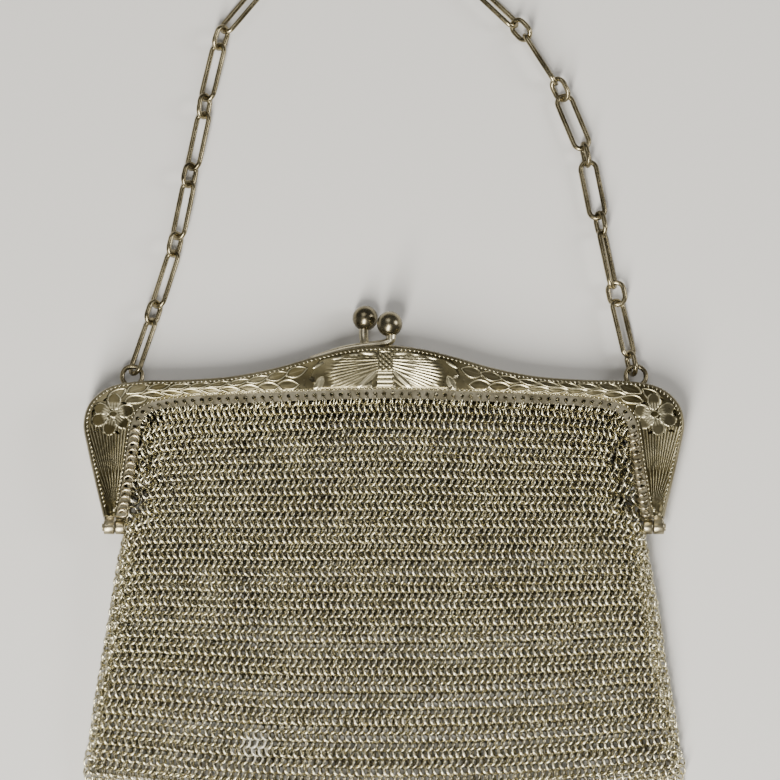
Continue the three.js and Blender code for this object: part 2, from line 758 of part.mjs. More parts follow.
// A link of bent wire, lying along X, with ten bends and a five-sided wire
function linkSkin(length) {
  const straight = (length - linkWidth) / 2;
  const outline = roundOutline(5);
  const loops = [];
  for (const end of [1, -1]) {
    for (let i = 0; i <= 4; i++) {
      const turn = ((i - 2) * Math.PI) / 4;
      const out = new THREE.Vector3(end * Math.cos(turn), end * Math.sin(turn), 0);
      const centre = out.clone().multiplyScalar(bendRadius).add(new THREE.Vector3(end * straight, 0, 0));
      loops.push(
        outline.map((o) => centre.clone().addScaledVector(out, o.x * wireRadius).setZ(o.y * wireRadius)),
      );
    }
  }
  return skin(loops);
}

function chainHandle() {
  const links = linkList();
  const contacts = chainContacts(links);
  const placed = links.map((link, j) => {
    const from = contacts[j];
    const to = contacts[j + 1];
    const along = to.clone().sub(from).normalize();
    const level = new THREE.Vector3(0, 0, 1).cross(along).normalize();
    const up = along.clone().cross(level);
    const side = level.multiplyScalar(Math.cos(link.roll)).addScaledVector(up, Math.sin(link.roll));
    const normal = along.clone().cross(side);
    const raise = Math.sign(side.z) * link.aside;
    const centre = from.clone().add(to).multiplyScalar(0.5).addScaledVector(side, raise);
    const pose = new THREE.Matrix4().makeBasis(along, side, normal).setPosition(centre);
    return linkSkin(link.length).transform(pose.toArray());
  });
  return joined(placed);
}

const purse = new THREE.Group();
purse.add(meshOf("front_frame", frontFrame(), silver));
purse.add(meshOf("back_frame", backFrame(), agedSilver));
purse.add(meshOf("left_hinge_pin", hingePin(-1), silver));
purse.add(meshOf("right_hinge_pin", hingePin(1), silver));
purse.add(meshOf("mesh_bag", meshBag(), ringMesh));
purse.add(meshOf("ring_fringe", ringFringe(), ringMesh));
purse.add(meshOf("chain_handle", chainHandle(), chainMetal));

// The origin is the middle of the purse's outline, on the surface it lies on
const extent = new THREE.Box3().setFromObject(purse);
const middle = extent.getCenter(new THREE.Vector3());
purse.position.set(-middle.x, -middle.y, -extent.min.z);

export default purse;
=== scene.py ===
import math

import bmesh
import bpy
import numpy as np
from mathutils import Matrix, Vector


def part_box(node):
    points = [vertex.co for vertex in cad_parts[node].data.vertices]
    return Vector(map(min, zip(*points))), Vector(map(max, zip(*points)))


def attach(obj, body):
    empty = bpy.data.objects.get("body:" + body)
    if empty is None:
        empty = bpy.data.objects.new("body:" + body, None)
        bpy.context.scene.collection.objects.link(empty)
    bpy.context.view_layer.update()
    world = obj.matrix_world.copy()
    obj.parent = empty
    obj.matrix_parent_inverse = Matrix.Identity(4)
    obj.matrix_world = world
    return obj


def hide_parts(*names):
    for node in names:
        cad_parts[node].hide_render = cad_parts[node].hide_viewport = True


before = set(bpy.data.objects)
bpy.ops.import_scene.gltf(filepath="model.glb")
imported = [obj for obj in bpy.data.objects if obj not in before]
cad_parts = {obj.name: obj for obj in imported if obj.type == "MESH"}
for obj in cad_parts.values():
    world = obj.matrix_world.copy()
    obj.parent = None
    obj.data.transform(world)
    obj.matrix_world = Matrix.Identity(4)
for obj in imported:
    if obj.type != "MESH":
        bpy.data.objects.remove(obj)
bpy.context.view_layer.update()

mm = 0.001

# The view. The purse lies on a plain pale sheet and is seen from above through a long lens,
# tipped ten degrees towards its foot. One tall soft lamp stands at its foot, with two weaker ones.
pin_low, pin_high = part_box("left_hinge_pin")
barrel_radius = 1.65
clearance = 0.3
hinge_line = (pin_low.y + pin_high.y) / 2 / mm + barrel_radius + clearance
frame_depth = 10.0
half_depth = frame_depth / 2

picture_side = 780
picture_step = 0.2333
lens_distance = 1.15
camera_height = math.radians(80)
view_centre = Vector((1.4, 30.1 + hinge_line, 7.0)) * mm


def shown(name, data):
    """An object of the given data, linked into the scene."""
    made = bpy.data.objects.new(name, data)
    bpy.context.scene.collection.objects.link(made)
    return made


camera_data = bpy.data.cameras.new("camera")
camera_data.sensor_width = 36.0
camera_data.lens = camera_data.sensor_width * lens_distance / (picture_side * picture_step * mm)
camera_data.clip_start = 0.05
camera_data.clip_end = 20.0
camera = shown("camera", camera_data)
toward_camera = Vector((0, -math.cos(camera_height), math.sin(camera_height)))
camera.location = view_centre + toward_camera * lens_distance
camera.rotation_euler = (math.pi / 2 - camera_height, 0, 0)
bpy.context.scene.camera = camera


def soft_lamp(name, place, size, power, colour):
    """An area lamp of a given width and height that faces the purse."""
    data = bpy.data.lights.new(name, "AREA")
    data.shape = "RECTANGLE"
    data.size, data.size_y = size
    data.energy = power
    data.color = colour
    lamp = shown(name, data)
    lamp.location = place
    lamp.rotation_euler = (view_centre - Vector(place)).to_track_quat("-Z", "Y").to_euler()


soft_lamp("main_lamp", (-0.22, -0.85, 0.8), (0.24, 1.0), 33, (1.0, 0.97, 0.9))
soft_lamp("top_lamp", (-0.25, 0.5, 1.1), (0.6, 0.6), 2.5, (1.0, 0.98, 0.94))
soft_lamp("side_lamp", (0.85, 0.1, 0.5), (0.35, 0.35), 4, (1.0, 0.98, 0.95))

world = bpy.data.worlds.new("studio")
world.use_nodes = True
backdrop = world.node_tree.nodes["Background"].inputs
backdrop["Color"].default_value = (0.96, 0.95, 0.92, 1)
backdrop["Strength"].default_value = 0.12
bpy.context.scene.world = world


def new_material(name, roughness, metallic):
    """A material, its node tree and the inputs of its main shader."""
    material = bpy.data.materials.new(name)
    material.use_nodes = True
    shader = material.node_tree.nodes["Principled BSDF"].inputs
    shader["Roughness"].default_value = roughness
    shader["Metallic"].default_value = metallic
    return material, material.node_tree, shader


paper, _, paper_shader = new_material("pale_sheet", 0.75, 0.0)
paper_shader["Base Color"].default_value = (0.72, 0.71, 0.69, 1)
floor_mesh = bmesh.new()
bmesh.ops.create_grid(floor_mesh, x_segments=2, y_segments=2, size=3.0)
floor_data = bpy.data.meshes.new("floor")
floor_mesh.to_mesh(floor_data)
floor_data.materials.append(paper)
shown("floor", floor_data)


# Front half of the frame. One sheet of nickel silver is pressed into a hollow band with a round rim,
# struck with a butterfly, leaf scrolls, shoulder flowers and reeded arms, and sawn through beside them.
frame_half_width = 70.0
crown_height = 40.4
hinge_share = 0.931
hinge_half_width = hinge_share * frame_half_width
mouth_half_width = hinge_half_width - 5.2
mouth_height = crown_height - 12.7
parting = 0.2
strip_width = 2.1
strip_rise = 4.4
rim_width = 0.8
rim_foot = 2.6
face_margin = 1.2
inner_margin = 2.6
face_rise = 4.45
face_dome = 0.3
sheet = 0.6

band_stations = [
    # outer across, outer up, inner across, inner up
    (0, 1, 0, 1),
    (0.114, 0.985, 0.125, 0.996),
    (0.229, 0.938, 0.25, 0.987),
    (0.357, 0.874, 0.4, 0.975),
    (0.5, 0.824, 0.567, 0.96),
    (0.657, 0.802, 0.733, 0.942),
    (0.8, 0.795, 0.86, 0.913),
    (0.909, 0.762, 0.915, 0.87),
    (0.977, 0.673, 0.942, 0.79),
    (1, 0.55, 0.952, 0.693),
    (0.987, 0.408, 0.96, 0.56),
    (0.961, 0.213, 0.977, 0.296),
    (hinge_share, 0, 1, 0),
]


def smooth_path(points, shares):
    """Places on the smooth curve through the points; each span between two points takes the same share."""
    points = np.asarray(points, float)
    ends = (2 * points[:1] - points[1:2], 2 * points[-1:] - points[-2:-1])
    held = np.concatenate([ends[0], points, ends[1]])
    run = np.clip(np.asarray(shares, float), 0, 1) * (len(points) - 1)
    span = np.minimum(run.astype(int), len(points) - 2)
    t = (run - span)[:, None]
    before, here, there, beyond = (held[span + k] for k in range(4))
    leave = (there - before) / 2
    arrive = (beyond - here) / 2
    cube = 2 * here - 2 * there + leave + arrive
    square = -3 * here + 3 * there - 2 * leave - arrive
    return ((cube * t + square) * t + leave) * t + here


def both_sides(points):
    points = np.asarray(points, float)
    return np.concatenate([points[:0:-1] * (-1, 1), points])


stations = np.array(band_stations, float)
outer_points = both_sides(stations[:, :2] * (frame_half_width, crown_height))
inner_points = both_sides(stations[:, 2:] * (mouth_half_width, mouth_height))


def band_at(shares):
    """Outer edge, unit vector inward and width of the band at shares of its length."""
    outer = smooth_path(outer_points, shares)
    across = smooth_path(inner_points, shares) - outer
    width = np.hypot(across[:, 0], across[:, 1])
    return outer, across / width[:, None], width


def even_shares(inset_at, count, start=0.0, end=1.0):
    """Shares of the band that lie evenly spaced along the line at the given inset."""
    fine = np.linspace(start, end, 1500)
    outer, inward, width = band_at(fine)
    line = outer + inward * inset_at(width)[:, None]
    run = np.concatenate([[0], np.cumsum(np.hypot(*np.diff(line, axis=0).T))])
    return np.interp(np.linspace(0, run[-1], count), run, fine), run[-1]


def mesh_object(name, places, closed_along=False):
    """A closed skin through rows of points, each row a closed loop; open ends are filled."""
    along, around = places.shape[:2]
    bm = bmesh.new()
    bmesh.ops.create_grid(bm, x_segments=along - 1 + closed_along, y_segments=around, size=0.5)
    for vert in bm.verts:
        row = round((vert.co.x + 0.5) * (along - 1 + closed_along)) % along
        column = round((vert.co.y + 0.5) * around) % around
        vert.co = places[row, column]
    bmesh.ops.remove_doubles(bm, verts=bm.verts, dist=1e-7)
    rims = [edge for edge in bm.edges if edge.is_boundary]
    if rims:
        bmesh.ops.holes_fill(bm, edges=rims, sides=0)
    bmesh.ops.recalc_face_normals(bm, faces=bm.faces)
    return finished(name, bm)


def finished(name, bm):
    data = bpy.data.meshes.new(name)
    bm.to_mesh(data)
    bm.free()
    data.shade_smooth()
    return shown(name, data)


def dress(made, material, sharp=None):
    """Gives a piece its finish and sets it riding with the purse."""
    made.data.materials.clear()
    made.data.materials.append(material)
    if sharp is not None:
        made.data.set_sharp_from_angle(angle=math.radians(sharp))
    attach(made, "root")


def clouds(tree, place, scale, detail):
    """Soft random clouds over a piece, as one amount."""
    noise = tree.nodes.new("ShaderNodeTexNoise")
    noise.inputs["Scale"].default_value = scale
    noise.inputs["Detail"].default_value = detail
    tree.links.new(place, noise.inputs["Vector"])
    return noise.outputs["Fac"]


def mapped(tree, value, start, stop, low=0.0, high=1.0):
    """An amount that runs from start to stop while the value runs from low to high."""
    spread = tree.nodes.new("ShaderNodeMapRange")
    for name, amount in (("From Min", low), ("From Max", high), ("To Min", start), ("To Max", stop)):
        spread.inputs[name].default_value = amount
    tree.links.new(value, spread.inputs["Value"])
    return spread.outputs["Result"]


def metal(name, bright, dark, roughness, wear_and_painted_light_name=None, patch=0.3, patch_scale=90):
    """Worn nickel silver, tarnished in patches; where an attribute is named, it runs the colour from dark to
    bright, painting shade into hollows and highlights onto rims along with real tarnish and wear.
    """
    material, tree, shader = new_material(name, roughness, 1.0)
    nodes, links = tree.nodes, tree.links
    place = nodes.new("ShaderNodeTexCoord").outputs["Object"]
    cloud = clouds(tree, place, patch_scale, 4)
    amount = mapped(tree, cloud, -patch if wear_and_painted_light_name else 1 - patch, 0 if wear_and_painted_light_name else 1, 0.35, 0.65)
    if wear_and_painted_light_name:
        attribute = nodes.new("ShaderNodeAttribute")
        attribute.attribute_name = wear_and_painted_light_name
        blend = nodes.new("ShaderNodeMath")
        blend.use_clamp = True
        links.new(amount, blend.inputs[0])
        links.new(attribute.outputs["Fac"], blend.inputs[1])
        amount = blend.outputs[0]
    ramp = nodes.new("ShaderNodeValToRGB")
    ramp.color_ramp.elements[0].color = (*dark, 1)
    ramp.color_ramp.elements[1].color = (*bright, 1)
    links.new(amount, ramp.inputs["Fac"])
    links.new(ramp.outputs["Color"], shader["Base Color"])
    speck = clouds(tree, place, 1400, 3)
    links.new(mapped(tree, speck, roughness - 0.1, roughness + 0.14), shader["Roughness"])
    bump = nodes.new("ShaderNodeBump")
    bump.inputs["Strength"].default_value = 0.2
    bump.inputs["Distance"].default_value = 0.05 * mm
    links.new(speck, bump.inputs["Height"])
    links.new(bump.outputs["Normal"], shader["Normal"])
    return material


def soft_step(low, high, value):
    t = np.clip((value - low) / (high - low), 0, 1)
    return t * t * (3 - 2 * t)


def section_rows(face_rows):
    """Rows of the band's section: inset in mm, inset as share of the width, rise and place across the
    face, which is -1 for the rim and -2 for the inside."""
    rows = [(0, 0, parting, -1), (0, 0, 1.4, -1), (0, 0, rim_foot, -1)]
    for turn in np.linspace(0, math.pi / 2, 8)[1:]:
        rim_rise = rim_foot + (face_rise - rim_foot) * math.sin(turn)
        rows.append((rim_width * (1 - math.cos(turn)), 0, rim_rise, -1))
    rows.append((rim_width + 0.2, 0, face_rise - 0.12, -1))
    for lane in np.linspace(0, 1, face_rows):
        inset = face_margin - (face_margin + inner_margin) * lane
        rows.append((inset, lane, face_rise + face_dome * math.sin(math.pi * lane), lane))
    rows += [
        (-inner_margin + 0.25, 1, face_rise - 0.12, -1),
        (-strip_width, 1, face_rise, -1),
        (-strip_width, 1, strip_rise - sheet, -2),
        (0, 0.5, half_depth - sheet - 0.15, -2),
        (face_margin, 0, face_rise - sheet, -2),
        (sheet, 0, rim_foot - sheet * 0.3, -2),
        (sheet, 0, parting, -2),
    ]
    return np.array(rows, float)


def half_shell(side, along, face_rows, ornament):
    """Points of one pressed half, and the painted light and wear of each, which sets how bright its colour
    is; the ornament gives both over the face.
    """
    shares, length = even_shares(lambda width: width / 2, along)
    outer, inward, width = band_at(shares)
    rows = section_rows(face_rows)
    inset = rows[None, :, 0] + rows[None, :, 1] * width[:, None]
    x = outer[:, None, 0] + inward[:, None, 0] * inset
    y = outer[:, None, 1] + inward[:, None, 1] * inset
    lane = np.broadcast_to(rows[None, :, 3], x.shape)
    run = np.broadcast_to(np.linspace(-length / 2, length / 2, along)[:, None], x.shape)
    face_width = np.broadcast_to((width - face_margin - inner_margin)[:, None], x.shape)
    proud, painted_light_and_wear = ornament(x, y, run, lane, face_width)
    proud = np.where(lane >= 0, proud, 0) * soft_step(0, 0.05, lane) * soft_step(1, 0.95, lane)
    rise = np.broadcast_to(rows[None, :, 2], x.shape) + proud
    places = np.stack([x, y + hinge_line, half_depth + side * rise], axis=2) * mm
    # The rim takes a low fixed value and the inside of the sheet the darkest colour, a painted shade that
    # makes the piercings look black.
    return places, np.select([lane >= 0, lane == -1], [painted_light_and_wear, 0.2], 0.0)


def laid(ground, inside, proud, painted_light_and_wear):
    """Height, and painted light and wear, with one more ornament laid over what was there, where inside is
    above zero.
    """
    return ground * (1 - inside) + np.stack([proud + 0 * inside, painted_light_and_wear + 0 * inside]) * inside


def turned_to(x, y, place, turn):
    """Places along and aside of a line through a place."""
    along = (x - place[0]) * math.cos(turn) + (y - place[1]) * math.sin(turn)
    aside = -(x - place[0]) * math.sin(turn) + (y - place[1]) * math.cos(turn)
    return along, aside


def leaf_laid(ground, x, y, place, length, width, turn, rise):
    """A flat almond leaf with a raised rim and a vein, with a painted highlight on the rim and vein; its tip
    stands proudest.
    """
    along, aside = turned_to(x, y, place, turn)
    share = np.clip(along / (length / 2), -1, 1)
    depth = width / 2 * (1 - share ** 2) - np.abs(aside)
    rim = np.exp(-(((depth - 0.2) / 0.15) ** 2))
    vein = np.exp(-((aside / 0.09) ** 2)) * (np.abs(share) < 0.6)
    inside = soft_step(0, 0.1, depth)
    return laid(ground, inside, rise * (0.4 + 0.3 * share) + 0.17 * rim, 0.13 + 0.77 * rim + 0.1 * vein)


def bar_laid(ground, x, y, place, length, width, turn, rise, painted_light_and_wear):
    """A plain raised bar or bead with pointed ends, coloured with the painted light and wear it is given."""
    along, aside = turned_to(x, y, place, turn)
    share = np.clip(np.abs(along) / (length / 2), 0, 1)
    depth = width / 2 * (1 - share ** 3) - np.abs(aside)
    inside = soft_step(0, 0.12, depth)
    return laid(ground, inside, rise * soft_step(-0.1, width / 2, depth), painted_light_and_wear)


# The butterfly at the crown, measured from the middle of its head
body_place = Vector((0.27, 36.7))
fan_place = Vector((-4.6, 37.1))
fan_top = math.radians(3)
fan_foot = math.radians(-29)
fan_lines = 12
fan_reach = 15.2
fan_swell = 4.3
wing_start = 1.6
wing_margin = 3.0
# The right wing's flutes are painted brighter than the left's, a painted highlight for light falling on one
# side.
wing_painted_light = {1: 0.9, -1: 0.5}
tail_foot = 30.2
tail_band = 1.08
top_leaves = [
    # across from the body, up, length, width, turn in degrees, painted light and wear
    (3.9, 38.4, 3.9, 1.2, 4, 0.75),
    (7.2, 38.0, 2.6, 0.7, -6, 0.85),
    (11.0, 37.2, 3.2, 0.8, -14, 0.85),
    (15.6, 35.5, 3.4, 0.8, -30, 0.85),
    (8.8, 29.9, 2.3, 0.45, 6, 0.95),
    (12.0, 29.6, 2.3, 0.45, -6, 0.95),
    (11.9, 30.9, 1.8, 0.4, -25, 0.95),
]


def butterfly(ground, x, y):
    """Fluted wings with a plain margin, a knobbly square head and a banded tail; the flutes, bands and knobs
    carry painted highlights.
    """
    across = x - body_place.x
    for hand in (-1, 1):
        dx = hand * across - fan_place.x
        dy = y - fan_place.y
        reach = np.hypot(dx, dy)
        turn = np.arctan2(dy, dx)
        share = (turn - fan_foot) / (fan_top - fan_foot)
        outside = hand * across - wing_start
        edge = fan_reach + fan_swell * np.sin(np.clip(share, 0, 1) * math.pi)
        margin = edge + wing_margin - 0.3 * np.abs(np.sin(share * math.pi * 3.5))
        plate = soft_step(0, 0.3, margin - reach) * soft_step(0, 0.3, outside)
        plate *= soft_step(0, 0.3, (share + 0.28) * 10) * soft_step(0, 0.3, (1.2 - share) * 10)
        ground = laid(ground, plate, 0.1, 0.2)
        fan = soft_step(0, 3.5, edge - reach) * soft_step(0, 0.1, outside)
        fan *= soft_step(0, 0.02, share) * soft_step(1, 0.98, share)
        fine = np.abs(np.cos(share * math.pi * fan_lines))
        coarse = np.abs(np.cos(share * math.pi * fan_lines / 2)) ** 2
        flute = coarse + (fine - coarse) * soft_step(8, 13, reach)
        ground = laid(ground, fan, 0.1 + 0.24 * flute, wing_painted_light[hand] * (0.1 + 0.9 * flute))
        ground = bar_laid(ground, hand * across, y, (4.3, 31.9), 7.2, 1.5, -0.75, 0.3, 0.7)
        ground = bar_laid(ground, hand * across, y, (15.4, 31.0), 4.4, 2.0, -1.1, 0.26, 0.7)
        for place_x, place_y, length, width, lean, painted_light_and_wear in top_leaves:
            ground = bar_laid(
                ground, hand * across, y, (place_x, place_y), length, width, math.radians(lean), 0.3, painted_light_and_wear
            )
    tail_half = 1.85 + 0.25 * np.clip((34 - y) / 4, 0, 1)
    tail = soft_step(0, 0.15, tail_half - np.abs(across))
    tail = tail * soft_step(34.1, 33.9, y) * soft_step(30.1, 30.3, y)
    bands = np.abs(np.sin((y - tail_foot) * math.pi / tail_band))
    ground = laid(ground, tail, 0.14 + 0.22 * bands, 0.12 + 0.85 * bands ** 2)
    head = soft_step(0, 0.15, 1.75 - np.abs(across)) * soft_step(0, 0.15, 2.6 - np.abs(y - body_place.y))
    knobs = np.sin(across * math.pi / 0.7) * np.sin((y - body_place.y) * math.pi / 0.62)
    ground = laid(ground, head, 0.36 + 0.1 * knobs, 0.3 + 0.3 * knobs)
    return bar_laid(ground, across, y, (0, 38.9), 3.6, 1.0, 0.0, 0.5, 0.75)


# The shoulder flowers: where each petal points in degrees, and how far out its middle lies
flower_place = Vector((62.9, 23.9))
petals = [(92, 2.9), (-140, 2.4), (165, 2.8), (-75, 3.0), (22, 2.9), (-21, 3.3)]
petal_half_length = 2.0
petal_half_width = 1.55
# The petal faces of the right flower are painted brighter than those of the left, a painted highlight for
# light falling on one side.
petal_painted_light = {1: 0.25, -1: 0.05}
button_half_width = 1.15
button_half_height = 0.9


def flower(ground, x, y, hand):
    """Six flat petals, fluted near the middle, with painted highlights on the flutes and round the edge,
    about an oval button with a painted highlight on its ring.
    """
    dx = hand * x - flower_place.x
    dy = y - flower_place.y
    for degrees, out in petals:
        turn = math.radians(degrees)
        along, aside = turned_to(dx, dy, (0, 0), turn)
        share = np.clip((along - out) / petal_half_length, -1, 1)
        depth = petal_half_width * np.sqrt(1 - share ** 2) * (1 + 0.22 * share) - np.abs(aside)
        rim = np.exp(-(((depth - 0.14) / 0.13) ** 2))
        flutes = np.abs(np.sin(aside * math.pi / 0.62)) * soft_step(3.0, 2.2, along)
        inside = soft_step(0, 0.1, depth)
        painted_light_and_wear = petal_painted_light[hand] + 0.8 * rim + 0.55 * flutes
        ground = laid(ground, inside, 0.2 + 0.14 * rim + 0.1 * flutes, painted_light_and_wear)
    button = 1 - np.hypot(dx / button_half_width, dy / button_half_height)
    ring = np.exp(-(((button - 0.12) / 0.12) ** 2))
    return laid(ground, soft_step(0, 0.1, button), 0.34 + 0.1 * ring, 0.08 + 0.8 * ring)


leaf_pitch = 4.5
leaf_length = 5.6
leaf_tilt = 0.13
leaf_rise = 0.34
leaf_first = 20.4
leaf_last = 61.0
reed_foot = Vector((62.45, 0.2))
reed_step = math.radians(2.1)


def front_ornament(x, y, run, lane, face_width):
    """Height, and painted light and wear, of the front's struck face."""
    ground = np.stack([np.zeros_like(x), np.full_like(x, 0.15)])
    offset = (lane - 0.5) * face_width
    away = np.abs(run)
    middle = len(run) // 2
    for start in np.arange(leaf_first, leaf_last, leaf_pitch):
        width_here = np.interp(start, run[middle:, 0], face_width[middle:, 0])
        wide = float(np.clip(0.56 * width_here, 1.7, 2.9))
        for row in (-1, 1):
            place = (start + (leaf_pitch / 2 if row > 0 else 0), row * 0.25 * width_here)
            turn = math.pi - row * leaf_tilt
            ground = leaf_laid(ground, away, offset, place, leaf_length, wide, turn, leaf_rise)
    lean = np.arctan2(np.abs(x) - reed_foot.x, y - reed_foot.y)
    fine = np.abs(np.cos(lean * math.pi / reed_step))
    coarse = np.abs(np.cos(lean * math.pi / reed_step / 2)) ** 2
    reeds = coarse + (fine - coarse) * soft_step(8, 12, y)
    reeds = 0.5 + (reeds - 0.5) * soft_step(1, 5, y)
    on_arm = soft_step(21.6, 20.6, y) * soft_step(0.6, 1.2, y)
    ground = laid(ground, on_arm, 0.2 * reeds, 0.5 * reeds ** 3)
    ground = bar_laid(ground, np.abs(x), y, (62.3, 1.5), 1.2, 1.2, 0.0, 0.5, 1.0)
    ground = butterfly(ground, x, y)
    ground = flower(ground, x, y, 1)
    return flower(ground, x, y, -1)


def store_wear_and_painted_light(made, places, wear_and_painted_light):
    """Keeps each point's wear and painted light and shade as an attribute, found again by its place."""
    data = made.data
    co = np.empty(len(data.vertices) * 3, np.float32)
    data.vertices.foreach_get("co", co)
    known = np.round(places.reshape(-1, 3) * 1e6).astype(int)
    keys = {tuple(key): value for key, value in zip(known, wear_and_painted_light.reshape(-1))}
    found = [keys.get(tuple(key), 0.5) for key in np.round(co.reshape(-1, 3) * 1e6).astype(int)]
    layer = data.attributes.new("wear_and_painted_light", "FLOAT", "POINT")
    layer.data.foreach_set("value", np.array(found, np.float32))


def cut_through(made, holes, low, high):
    """Saws openings of given place, size and turn through a piece."""
    cutter = bmesh.new()
    for x, y, length, width, turn, sides in holes:
        ring = bmesh.ops.create_cone(cutter, cap_ends=True, segments=sides, radius1=1, radius2=1, depth=1)
        pose = Matrix.Translation(Vector((x, y + hinge_line, (low + high) / 2)) * mm)
        pose = pose @ Matrix.Rotation(turn, 4, "Z")
        pose = pose @ Matrix.Diagonal((length / 2 * mm, width / 2 * mm, (high - low) * mm, 1))
        bmesh.ops.transform(cutter, matrix=pose, verts=ring["verts"])
    saw = finished(made.name + "_saw", cutter)
    cut = made.modifiers.new("cut", "BOOLEAN")
    cut.operation = "DIFFERENCE"
    cut.solver = "EXACT"
    cut.object = saw
    graph = bpy.context.evaluated_depsgraph_get()
    result = bpy.data.meshes.new_from_object(made.evaluated_get(graph))
    made.modifiers.clear()
    made.data = result
    bpy.data.objects.remove(saw)


# The front's colour follows its attribute: painted shade in the hollows and inside, painted highlights on
# rims, flutes and one wing, with real wear.
frame_metal = metal("struck_silver", (0.72, 0.66, 0.445), (0.08, 0.066, 0.03), 0.3, "wear_and_painted_light", patch=0.15)
front_places, front_wear_and_painted_light = half_shell(1, along=1180, face_rows=56, ornament=front_ornament)
front = mesh_object("front_frame_shell", front_places)
store_wear_and_painted_light(front, front_places, front_wear_and_painted_light)
pierced = [
    # beside the butterfly: across, up, length, width, turn in radians, sides
    (-3.3, 30.9, 2.5, 2.0, math.pi / 2, 3),
    (2.5, 30.6, 1.7, 1.3, math.pi / 2, 3),
    (-16.8, 32.2, 1.7, 0.9, -0.9, 7),
    (16.7, 32.7, 1.8, 0.9, 0.75, 7),
    (15.2, 30.0, 1.8, 0.7, 0.6, 7),
]
round_flower = [
    # the same, measured from the middle of the flower
    (4.75, 0.3, 0.75, 2.0, 0.15, 7),
    (3.8, -3.9, 2.3, 0.9, -0.1, 3),
    (-1.0, -4.3, 1.3, 0.7, 0.5, 7),
    (-2.5, 2.6, 1.4, 0.55, 0.5, 7),
    (1.9, 3.5, 1.5, 0.5, -0.7, 7),
]
for hand in (-1, 1):
    for aside, up, length, width, turn, sides in round_flower:
        place_x = hand * (flower_place.x + aside)
        pierced.append((place_x, flower_place.y + up, length, width, hand * turn, sides))
cut_through(front, pierced, low=7.0, high=12.0)
dress(front, frame_metal)
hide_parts("front_frame")


# Beading. A rope line of small slanted beads is struck along both edges of the front's ornamented face.
# It is part of the pressed sheet, and its beads are coloured brighter than the face, a painted highlight.
bead_pitch = 1.0
bead_ends = (0.012, 0.988)


def only(kind, items):
    """The items of one kind out of the mixed geometry that a bmesh step gives back."""
    return [item for item in items if isinstance(item, kind)]


def mesh_arrays(bm):
    """Corner places and faces of a small bmesh whose faces all have the same number of sides."""
    bm.verts.ensure_lookup_table()
    points = np.array([vert.co for vert in bm.verts])
    faces = np.array([[vert.index for vert in face.verts] for face in bm.faces])
    bm.free()
    return points, faces


def joined_copies(name, points, faces, turns, places):
    """One mesh holding a copy of a small shape for each turn and place, both as arrays."""
    count = len(places)
    made = np.einsum("nij,pj->npi", turns, points) + places[:, None, :]
    order = faces[None] + (np.arange(count) * len(points))[:, None, None]
    data = bpy.data.meshes.new(name)
    data.vertices.add(count * len(points))
    data.vertices.foreach_set("co", made.astype(np.float32).ravel())
    data.loops.add(order.size)
    data.loops.foreach_set("vertex_index", order.astype(np.int32).ravel())
    data.polygons.add(count * len(faces))
    data.polygons.foreach_set("loop_start", np.arange(0, order.size, faces.shape[1], dtype=np.int32))
    data.update(calc_edges=True)
    data.validate()
    data.shade_smooth()
    return shown(name, data)


def bead_line(inset_at, slant):
    """Turns and places of beads along one edge; each is stretched along its own slant."""
    line_length = even_shares(inset_at, 2, *bead_ends)[1]
    shares = even_shares(inset_at, int(line_length / bead_pitch), *bead_ends)[0]
    outer, inward, width = band_at(shares)
    line = outer + inward * inset_at(width)[:, None]
    heading = np.arctan2(-inward[:, 0], inward[:, 1]) + slant
    stretch = Matrix.Diagonal((bead_pitch * 0.4, bead_pitch * 0.19, 0.2))
    turns = [np.array(Matrix.Rotation(turn, 3, "Z") @ stretch) for turn in heading]
    height = np.full(len(line), half_depth + face_rise)
    return turns, np.column_stack([line[:, 0], line[:, 1] + hinge_line, height])


bead_shape = bmesh.new()
bmesh.ops.create_icosphere(bead_shape, subdivisions=1, radius=mm)
bead_points, bead_faces = mesh_arrays(bead_shape)
outer_turns, outer_places = bead_line(lambda width: rim_width + 0.22 + width * 0, -0.5)
inner_turns, inner_places = bead_line(lambda width: width - inner_margin + 0.15, 0.35)
beading = joined_copies(
    "front_beading", bead_points, bead_faces,
    np.array(outer_turns + inner_turns), np.concatenate([outer_places, inner_places]) * mm,
)
# The beads' bright colour is a painted highlight.
bead_painted_highlight_metal = metal("bead_silver_painted_highlight", (0.86, 0.8, 0.6), (0.42, 0.37, 0.23), 0.26, patch=0.9, patch_scale=60)
dress(beading, bead_painted_highlight_metal)


# Pierced strips. A narrow flat strip stands along the mouth of each half, drilled with a row of small holes
# that the top rings of the mesh are threaded through.
hole_pitch = 2.0
hole_radius = 0.5
hole_place = 0.45


def strip_middle(width):
    return width - strip_width / 2


strip_length = even_shares(strip_middle, 2)[1]


def strip_cell():
    """One drilled length of strip from -0.5 to 0.5 along and 0 to 1 across, with a round hole through it."""
    bm = bmesh.new()
    sides = 16
    rim = bmesh.ops.create_circle(bm, segments=sides, radius=1)["verts"]
    frame_edge = bmesh.ops.create_circle(bm, segments=sides, radius=1)["verts"]
    for vert in rim:
        across = hole_place + vert.co.y * hole_radius / strip_width
        vert.co = Vector((vert.co.x * hole_radius / hole_pitch, across, 0))
    for vert in frame_edge:
        reach = max(abs(vert.co.x), abs(vert.co.y))
        vert.co = Vector((vert.co.x / reach * 0.5, 0.5 + vert.co.y / reach * 0.5, 0))
    bmesh.ops.bridge_loops(bm, edges=bm.edges[:])
    walls = bmesh.ops.extrude_face_region(bm, geom=bm.faces[:])["geom"]
    for vert in only(bmesh.types.BMVert, walls):
        vert.co.z = -1
    ends = [face for face in bm.faces if abs(face.calc_center_median().x) > 0.499]
    bmesh.ops.delete(bm, geom=ends, context="FACES_ONLY")
    return mesh_arrays(bm)


